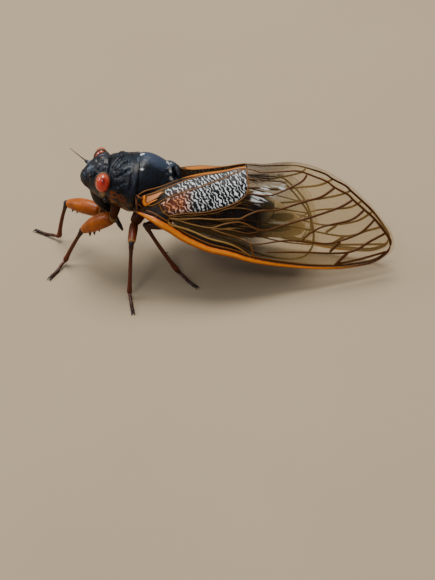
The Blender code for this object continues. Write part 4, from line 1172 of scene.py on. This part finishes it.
def make_rostrum():
    """The jointed sucking beak, folded back under the body."""
    bm = bmesh.new()
    path = world_path(ROSTRUM, 0.2)
    radii = taper(path, [0, 0.3, 0.33, 0.66, 0.69, 1], [0.42, 0.36, 0.4, 0.28, 0.31, 0.12])
    limb(bm, path, radii, sides=18)
    make_piece("sucking_beak", bm, [DARK_SHELL], ["rostrum"])


CROSS_ARM = [
    (10.55, 1.35, 2.75), (11.1, 0.7, 2.92), (11.6, 0, 2.86), (12.1, -0.7, 2.42), (12.55, -1.25, 1.75),
]


def make_cruciform():
    """The raised cross at the rear of the mesonotum, from two arms that cross each other."""
    bm = bmesh.new()
    for side in SIDES.values():
        path = world_path(CROSS_ARM, 0.15, side)
        radii = taper(path, [0, 0.15, 0.5, 0.85, 1], [0.1, 0.3, 0.42, 0.32, 0.12])
        limb(bm, path, radii, sides=18, flat=0.8)
    make_piece("raised_cross", bm, [MESONOTUM_SHELL])


HINGE_PLATES = [
    ((7.45, 4.15, -1.0), (0.46, 0.62, 0.85)),
    ((7.95, 4.0, -1.2), (0.36, 0.5, 0.95)),
    ((7.5, 4.05, -2.1), (0.42, 0.55, 0.5)),
    ((8.85, 3.45, -1.35), (0.55, 0.6, 0.9)),
]
HINGE_STRUTS = [
    ([(7.05, 4.35, -0.35), (7.25, 4.78, -1.0), (7.45, 4.85, -1.7), (7.6, 4.62, -2.4)], 0.13),
    ([(7.1, 4.3, -0.2), (7.5, 4.62, -0.35), (7.95, 4.5, -0.5), (8.3, 4.2, -0.5)], 0.15),
    ([(7.3, 4.7, -1.2), (7.7, 4.75, -1.35), (8.1, 4.5, -1.7)], 0.10),
    ([(7.2, 4.4, -2.4), (7.7, 4.5, -2.55), (8.2, 4.2, -2.5)], 0.16),
]


def make_hinges():
    """The dark plates and thin tan struts between the thorax and the roots of the wings."""
    bm = bmesh.new()
    for side in SIDES.values():
        for (x, y, z), radii in HINGE_PLATES:
            ball(bm, world((x, side * y, z)), radii, sides=24, material=1)
        for strut, thick in HINGE_STRUTS:
            path = world_path(strut, 0.15, side)
            limb(bm, path, taper(path, [0, 0.5, 1], [thick * 0.6, thick, thick * 0.5]), sides=12)
    make_piece("wing_hinges", bm, [TAN_SHELL, DARK_SHELL])


def make_body():
    """Head, thorax and abdomen with all that they carry except the legs and wings."""
    make_head()
    make_rostrum()
    shell("pronotum_shell", PRONOTUM, 0.085, 208, pronotum_relief, PRONOTUM_SHELL, ["prothorax"])
    shell("mesonotum_shell", MESONOTUM, 0.10, 192, mesonotum_relief, MESONOTUM_SHELL, ["mesothorax"])
    shell("abdomen_rings", ABDOMEN, 0.10, 144, abdomen_relief, ABDOMEN_SHELL, ["abdomen"])
    make_cruciform()
    make_hinges()
    for side_name, side in SIDES.items():
        make_eye(side_name, side)
        make_antenna(side_name)


# Legs


def joint_ring(bm, centre, axis, radius, thick):
    """A soft ring round a joint."""
    turn = axis.normalized().to_track_quat("Z", "Y").to_matrix()
    ball(bm, centre, (radius, radius, thick), turn, rows=12, material=1)


def make_leg(kind, side_name):
    """Coxa, femur, tibia and foot of one leg, each a piece of its own."""
    x, y, z = COXA_ROOT[kind]
    root = world((x, SIDES[side_name] * y, z))
    hip, knee, ankle, toe = [floor_point(p) for p in LEGS[f"{kind}_{side_name}"]]
    coxa_thick, thick, knee_thick, tibia_thick, tarsus_thick = LEG_THICKNESS[kind]
    fore = kind == "fore"
    parts = ("coxa", "femur", "tibia", "tarsus")
    coxa, femur, tibia, tarsus = [f"{kind}_{part}_{side_name}" for part in parts]

    bm = bmesh.new()
    shaped_limb(bm, root, hip + (hip - root).normalized() * 0.2, COXA_PROFILE, coxa_thick, steps=18, sides=20)
    joint_ring(bm, hip, knee - hip, thick * 0.74, 0.16)
    make_piece(coxa, bm, [COXA, CREAM_MEMBRANE])

    bm = bmesh.new()
    profile = FEMUR_PROFILE if fore else THIN_FEMUR_PROFILE
    lift = FORE_FEMUR_LIFT if fore else None
    shaped_limb(bm, hip, knee, profile, thick, bow=lift, steps=34, sides=28)
    if fore:
        add_spines(bm, hip, knee, ankle, thick)
    make_piece(f"{femur}_shell", bm, [FEMUR_SKINS[kind], SPINE_BROWN], [femur])

    bm = bmesh.new()
    joint_ring(bm, knee, ankle - knee, knee_thick, knee_thick)
    outward = (knee - hip).normalized() * TIBIA_BOW
    shaped_limb(bm, knee, ankle, TIBIA_PROFILE, tibia_thick, bow=outward, steps=40, sides=18)
    add_spurs(bm, knee, ankle, kind, tibia_thick)
    make_piece(f"{tibia}_shell", bm, [TIBIA, CLAW_BLACK], [tibia])

    bm = bmesh.new()
    resting = ankle.lerp(toe, FOOT_LANDING)
    resting.z = tarsus_thick + SOLE_CLEARANCE
    ahead = (toe - resting).normalized()
    path = smooth_path([ankle, ankle.lerp(resting, 0.5) + Vector((0, 0, 0.05)), resting, toe], 0.11)
    radii = hermite(np.linspace(0, 1, len(path)), TARSUS_PROFILE)[:, 0] * tarsus_thick
    limb(bm, [Vector(p) for p in path], radii, sides=14, floor=0.0)
    add_claws(bm, toe, ahead)
    make_piece(f"{tarsus}_shell", bm, [TARSUS, CLAW_BLACK], [tarsus])


def add_spines(bm, hip, knee, ankle, thick):
    """Stout spines under the fore femur, nearer the knee than the hip."""
    axis = (knee - hip).normalized()
    under = ((ankle - knee) - axis * (ankle - knee).dot(axis)).normalized()
    for place, length in FEMUR_SPINES:
        root = hip.lerp(knee, place) + under * thick * 0.55
        tip = root + (under * 0.85 + axis * 0.5) * (thick * 0.35 + length)
        points = [root.lerp(tip, t) for t in (0.0, 0.3, 0.6, 0.85, 1.0)]
        limb(bm, points, [0.24, 0.20, 0.14, 0.08, 0.03], sides=10, material=1)


def add_spurs(bm, knee, ankle, kind, thick):
    """Short bristle-like spurs along the tibia and a crown of them at its end."""
    axis = (ankle - knee).normalized()
    aside = axis.cross(Vector((0, 0, 1))).normalized()
    front = axis.cross(aside).normalized()
    for place, angle, length in TIBIA_CROWN + (TIBIA_SPURS if kind != "fore" else []):
        out = aside * math.cos(angle) + front * math.sin(angle)
        root = knee.lerp(ankle, place) + out * thick * 0.6
        tip = root + (out * 0.55 + axis * 0.8) * length
        tip.z = max(tip.z, SPUR_CLEARANCE)
        points = [root.lerp(tip, t) for t in (0.0, 0.5, 1.0)]
        limb(bm, points, [0.08, 0.055, 0.015], sides=8, material=1)


def add_claws(bm, toe, ahead):
    """A pair of hooked claws that spread from the toe and rest on the floor."""
    ahead = Vector((ahead.x, ahead.y, 0)).normalized()
    aside = Vector((-ahead.y, ahead.x, 0))
    for side in (-1, 1):
        points = [
            toe - ahead * 0.15 + aside * side * 0.05,
            toe + (ahead * 0.30 + aside * side * 0.16) * CLAW_LENGTH + Vector((0, 0, 0.05)),
            toe + (ahead * 0.62 + aside * side * 0.30) * CLAW_LENGTH,
            toe + (ahead * 0.85 + aside * side * 0.34) * CLAW_LENGTH,
        ]
        points[2].z = 0.2
        points[3].z = 0.04
        path = [Vector(p) for p in smooth_path(points, 0.1)]
        limb(bm, path, taper(path, [0, 0.5, 1], [0.13, 0.10, 0.03]), sides=10, material=1, floor=0.0)


# Wings


def wing_points(x, down, side, depth=0.0):
    """World points and outward normals of a wing's surface, for arrays of x and distance down."""
    def sheet(x, down):
        spacing, height, slope, last_slope = np.moveaxis(hermite(x, WING_SECTIONS), -1, 0)
        slope, last_slope = np.radians(slope), np.radians(last_slope)
        turn = (last_slope - slope) / TURN_LENGTH
        curved = np.clip(down, 0, TURN_LENGTH)
        angle = slope + turn * curved
        out = (np.sin(angle) - np.sin(slope)) / turn + (down - curved) * np.cos(angle)
        drop = (np.cos(slope) - np.cos(angle)) / turn + (down - curved) * np.sin(angle)
        body = np.stack([x, side * (spacing + out), height - drop], axis=-1)
        return body @ STANCE_TURN.T + STANCE_PLACE

    step = 0.05
    along = sheet(x + step, down) - sheet(x - step, down)
    across = sheet(x, down + step) - sheet(x, down - step)
    normal = side * np.cross(along, across)
    normal /= np.linalg.norm(normal, axis=-1, keepdims=True)
    return sheet(x, down) - normal * depth, normal


def inside_by(outline, points):
    """How far each point lies inside a closed outline, and 0 outside it."""
    x, y = points.T
    hit = np.zeros(len(points), bool)
    closed = np.array(outline + outline[:1])
    for a, b in zip(closed, closed[1:]):
        if a[1] != b[1]:
            crosses = (a[1] > y) != (b[1] > y)
            hit ^= crosses & (x < a[0] + (y - a[1]) / (b[1] - a[1]) * (b[0] - a[0]))
    return np.where(hit, line_distance(points, closed), 0.0)


# Painted marks of the forewing: closed outlines in its plan, by the name of the mask.
FORE_CELLS = {
    # The folded cells, whose silvery streaks are painted reflections.
    "folds": [
        [(10.5, 0.7)] + CLAVAL_MARGIN[3:] + CLAVAL_SUTURE[:1:-1],
        CLAVAL_SUTURE[2:] + CUBITUS[::-1] + [(10.2, 2.4)],
    ],
    "dark": [
        [
            (8.35, 1.9), (9.5, 2.2), (10.0, 2.3), (11.5, 4.7), (11.75, 5.2), (11.35, 5.6), (9.9, 4.0),
            (8.4, 2.6),
        ],
        [(8.9, 1.8), (9.9, 1.7), (10.7, 1.35), (11.7, 2.15), (10.9, 2.1), (9.5, 2.05)],
    ],
    "lobe": [[(8.35, 0.2), (9.4, 0.45), (10.4, 0.6), (10.5, 0.95), (9.9, 1.4), (9.0, 1.45), (8.4, 1.5)]],
    "pink": [[(8.6, 1.0), (14.5, 1.8), (14.9, 6.8), (10.2, 5.2)]],
    # Painted shade: the costal cells are darkened almost to opaque, as if by the shadowed floor and body seen
    # through them.
    "painted_shade": [
        [(11.4, 5.5)] + RADIUS[1:-1]
        + [(21.9, 11.9), (18.7, 11.2), (15.75, 10.1), (13.7, 8.7), (11.65, 6.5)],
    ],
    # Painted shade: dull brown cells round the node, darkened as if by the shadowed floor seen through them.
    "olive_painted_shade": [
        [(11.7, 5.3), (14.5, 7.2), (17.1, 7.95), (19.5, 9.0), (22.6, 9.84), (23.1, 10.6), (23.2, 11.6)]
        + RADIUS[-2:0:-1],
        [
            (17.1, 7.95), (19.4, 8.35), (22.0, 8.7), (24.0, 7.8), (27.0, 6.5), (27.0, 8.7), (24.0, 9.6),
            (22.6, 9.84), (19.5, 9.0),
        ],
        [(22.6, 9.84), (24.0, 9.6), (27.0, 8.7), (27.0, 11.7), (23.2, 11.6), (23.1, 10.6)],
    ],
    "gold": [[(13.4, -3.0), (20.9, -2.0), (20.9, 0.1), (18.2, 0.2), (16.2, 0.4), (14.4, 0.4), (13.0, 0.15)]],
    # Painted glare: wrinkled cells where fine white streaks stand in for reflected light.
    "glare_creases": [
        [(21.6, 4.9), (21.9, 3.2), (23.4, 1.6), (26.4, 0.6), (26.6, 1.9), (25.4, 3.0), (23.4, 4.9)],
        [(27.0, -1.0), (31.0, -0.6), (33.0, 0.6), (32.0, 0.4), (28.5, -0.2)],
    ],
}
# How far inside its outline each mark reaches full strength.
MARK_REACH = {"glare_creases": 0.4, "pink": 1.6, "olive_painted_shade": 0.12, "painted_shade": 0.12, "gold": 0.2}
USUAL_REACH = 0.25
FORE_GRID = (260, 72)
HIND_GRID = (140, 56)


def make_membrane(wing, side, upper_edge, lower_edge, depth, grid, cells, material):
    """A thin curved sheet between a wing's two edges, rippled where its cells are folded."""
    bm = bmesh.new()
    bmesh.ops.create_grid(bm, x_segments=grid[0], y_segments=grid[1], size=0.5)
    flat = np.array([v.co for v in bm.verts])
    upper, lower = smooth_path(upper_edge, 0.1), smooth_path(lower_edge, 0.1)
    first, last = upper_edge[0][0], upper_edge[-1][0]
    x = first + (last - first) * (0.5 - 0.5 * np.cos(math.pi * np.clip(flat[:, 0] + 0.5, 0.002, 0.998)))
    top = np.interp(x, upper[:, 0], upper[:, 1])
    bottom = np.interp(x, lower[:, 0], lower[:, 1])
    down = top + (bottom - top) * (flat[:, 1] + 0.5)
    plan = np.stack([x, down], axis=-1)
    masks = {}
    for mask in MEMBRANE_MARKS:
        reach = MARK_REACH.get(mask, USUAL_REACH)
        insides = [np.clip(inside_by(cell, plan) / reach, 0, 1) for cell in cells.get(mask, ())]
        masks[mask] = np.max(insides, axis=0) if insides else np.zeros(len(plan))
    points, normals = wing_points(x, down, side, depth)
    phase = 2 * math.pi * (plan @ RIPPLE_ACROSS) / RIPPLE_PERIOD
    ripple = np.sin(phase + 1.3 * np.sin(down * 2.6 + x * 0.7))
    points += normals * (RIPPLE_HEIGHT * masks["folds"] * ripple)[:, None]
    for vert, point in zip(bm.verts, points):
        vert.co = point
    piece = make_piece(f"{wing}_membrane", bm, [material], [wing], sharp=180)
    mesh = piece.data
    plan_map = mesh.uv_layers.new(name="plan")
    corners = np.zeros(len(mesh.loops), np.int32)
    mesh.loops.foreach_get("vertex_index", corners)
    plan_map.data.foreach_set("uv", (plan[corners] / PLAN_UNIT).ravel().astype(np.float32))
    for mask, values in masks.items():
        mesh.attributes.new(mask, "FLOAT", "POINT").data.foreach_set("value", values.astype(np.float32))
    solid = piece.modifiers.new("thickness", "SOLIDIFY")
    solid.thickness = MEMBRANE_THICKNESS * MM
    solid.offset = 0.0


def add_vein(bm, path, side, depth, half_widths, height=0.85, material=0):
    """A rounded rib that follows a path on the wing, marked with each point's place across it."""
    mark = bm.verts.layers.float.get("across") or bm.verts.layers.float.new("across")
    path = smooth_path(path, 0.3)
    centres, normals = wing_points(path[:, 0], path[:, 1], side, depth)
    tangents = np.gradient(centres, axis=0)
    across = np.cross(normals, tangents)
    across /= np.linalg.norm(across, axis=-1, keepdims=True)
    places = np.linspace(0, 1, len(path))
    widths = np.interp(places, np.linspace(0, 1, len(half_widths)), half_widths)
    widths *= np.sqrt(np.clip(np.minimum(places, 1 - places) * len(path) / 1.5 + 0.1, 0, 1))
    rings = []
    for index in range(len(path)):
        verts = ring(bm, VEIN_SIDES, cap=index in (0, len(path) - 1))
        aside = Vector(across[index]) * widths[index]
        rise = Vector(normals[index]) * widths[index] * height
        for vert in verts:
            vert[mark] = vert.co.x
            vert.co = Vector(centres[index]) + aside * vert.co.x + rise * vert.co.y
        rings.append(verts)
    bridge(bm, rings, material)


# Half widths at the points of the costa, then the gaps of the two thin lines along its upper edge.
COSTA_HALF_WIDTHS = (
    0.16, 0.40, 0.50, 0.49, 0.46, 0.43, 0.39, 0.33, 0.27, 0.22, 0.18, 0.17, 0.16, 0.14, 0.14, 0.14,
)
COSTA_LINE_GAPS = {"shade": 0.07, "gold": 0.22}


def costa_line(gap):
    """A path a little above the costa, clear of its upper edge by the gap."""
    places = zip(COSTA[1:], COSTA_HALF_WIDTHS[1:])
    return [(x, down - (half * 1.25 + gap)) for (x, down), half in places]


def make_wings(side_name, side):
    """One side's forewing and hindwing: a membrane and its veins each."""
    forewing, hindwing = f"forewing_{side_name}", f"hindwing_{side_name}"
    upper_edge = RIGHT_UPPER_EDGE if side_name == "right" else FOREWING_UPPER_EDGE
    make_membrane(
        forewing, side, upper_edge, FOREWING_LOWER_EDGE, 0.0, FORE_GRID, FORE_CELLS, FORE_MEMBRANE,
    )
    kinds = list(WING_VEIN_MATERIALS)
    bm = bmesh.new()
    if side_name == "right":
        add_vein(bm, INNER_MARGIN, side, 0.0, (0.08, 0.10), material=kinds.index("gold"))
    for path, base, tip, kind in FOREWING_VEINS.values():
        add_vein(bm, path, side, 0.0, (base, tip), material=kinds.index(kind))
    add_vein(bm, COSTA, side, 0.0, COSTA_HALF_WIDTHS, height=0.7, material=kinds.index("costa"))
    for kind, gap in COSTA_LINE_GAPS.items():
        add_vein(bm, costa_line(gap), side, 0.0, (0.07, 0.09, 0.08, 0.06), material=kinds.index(kind))
    make_piece(f"{forewing}_veins", bm, list(WING_VEIN_MATERIALS.values()))

    make_membrane(
        hindwing, side, HINDWING_UPPER_EDGE, HINDWING_LOWER_EDGE, HINDWING_DEPTH, HIND_GRID, {},
        HIND_MEMBRANE,
    )
    bm = bmesh.new()
    for path, base, tip in HINDWING_VEINS.values():
        add_vein(bm, path, side, HINDWING_DEPTH, (base, tip))
    make_piece(f"{hindwing}_veins", bm, [HIND_VEIN_BROWN])


# Floor, light and camera

FLOOR_HALF_WIDTH = 2.0
LAMP_AIM = (0, 0, 0.008)


def make_floor():
    """A wide plain floor, far past the edges of the view."""
    bm = bmesh.new()
    bmesh.ops.create_grid(bm, x_segments=8, y_segments=8, size=FLOOR_HALF_WIDTH)
    mesh = bpy.data.meshes.new("floor")
    bm.to_mesh(mesh)
    bm.free()
    mesh.materials.append(floor_material())
    floor = add_object("floor", mesh)


def aim(obj, place, target):
    """Set a lamp or the camera at a place, looking at the target."""
    obj.location = place
    obj.rotation_euler = (Vector(place) - Vector(target)).to_track_quat("Z", "Y").to_euler()


def add_light(name, place, size, energy, colour):
    """A round area light that looks at the middle of the model."""
    light = bpy.data.lights.new(name, "AREA")
    light.shape = "DISK"
    light.size = size
    light.energy = energy
    light.color = colour
    aim(add_object(name, light), place, LAMP_AIM)


def make_lights():
    """One large soft light from above, two small ones and a faint blue sky all round."""
    add_light("sky", (-0.04, 0.16, 0.48), 0.32, 3.6, (1.0, 0.97, 0.92))
    add_light("front sky", (-0.16, -0.30, 0.42), 0.12, 0.55, (1.0, 0.98, 0.95))
    add_light("left sky", (-0.42, 0.05, 0.26), 0.18, 0.7, (0.84, 0.92, 1.0))
    surround = bpy.data.worlds.new("surround")
    surround.use_nodes = True
    background = surround.node_tree.nodes["Background"]
    background.inputs["Color"].default_value = (0.80, 0.89, 1.0, 1.0)
    background.inputs["Strength"].default_value = 0.24
    bpy.context.scene.world = surround


def make_camera():
    lens = bpy.data.cameras.new("camera")
    lens.sensor_width = SENSOR
    lens.lens = FOCAL_PIXELS / PHOTO_HEIGHT_PIXELS * SENSOR
    lens.clip_start = 0.01
    camera = add_object("camera", lens)
    level = math.cos(CAMERA_ELEVATION)
    back = Vector((
        math.sin(CAMERA_AZIMUTH) * level, -math.cos(CAMERA_AZIMUTH) * level, math.sin(CAMERA_ELEVATION),
    ))
    aim(camera, (CAMERA_AIM + back * CAMERA_DISTANCE) * MM, CAMERA_AIM * MM)
    bpy.context.scene.camera = camera


make_camera()
make_lights()
make_floor()
make_body()
for side_name, side in SIDES.items():
    for kind in LEG_THICKNESS:
        make_leg(kind, side_name)
    make_wings(side_name, side)
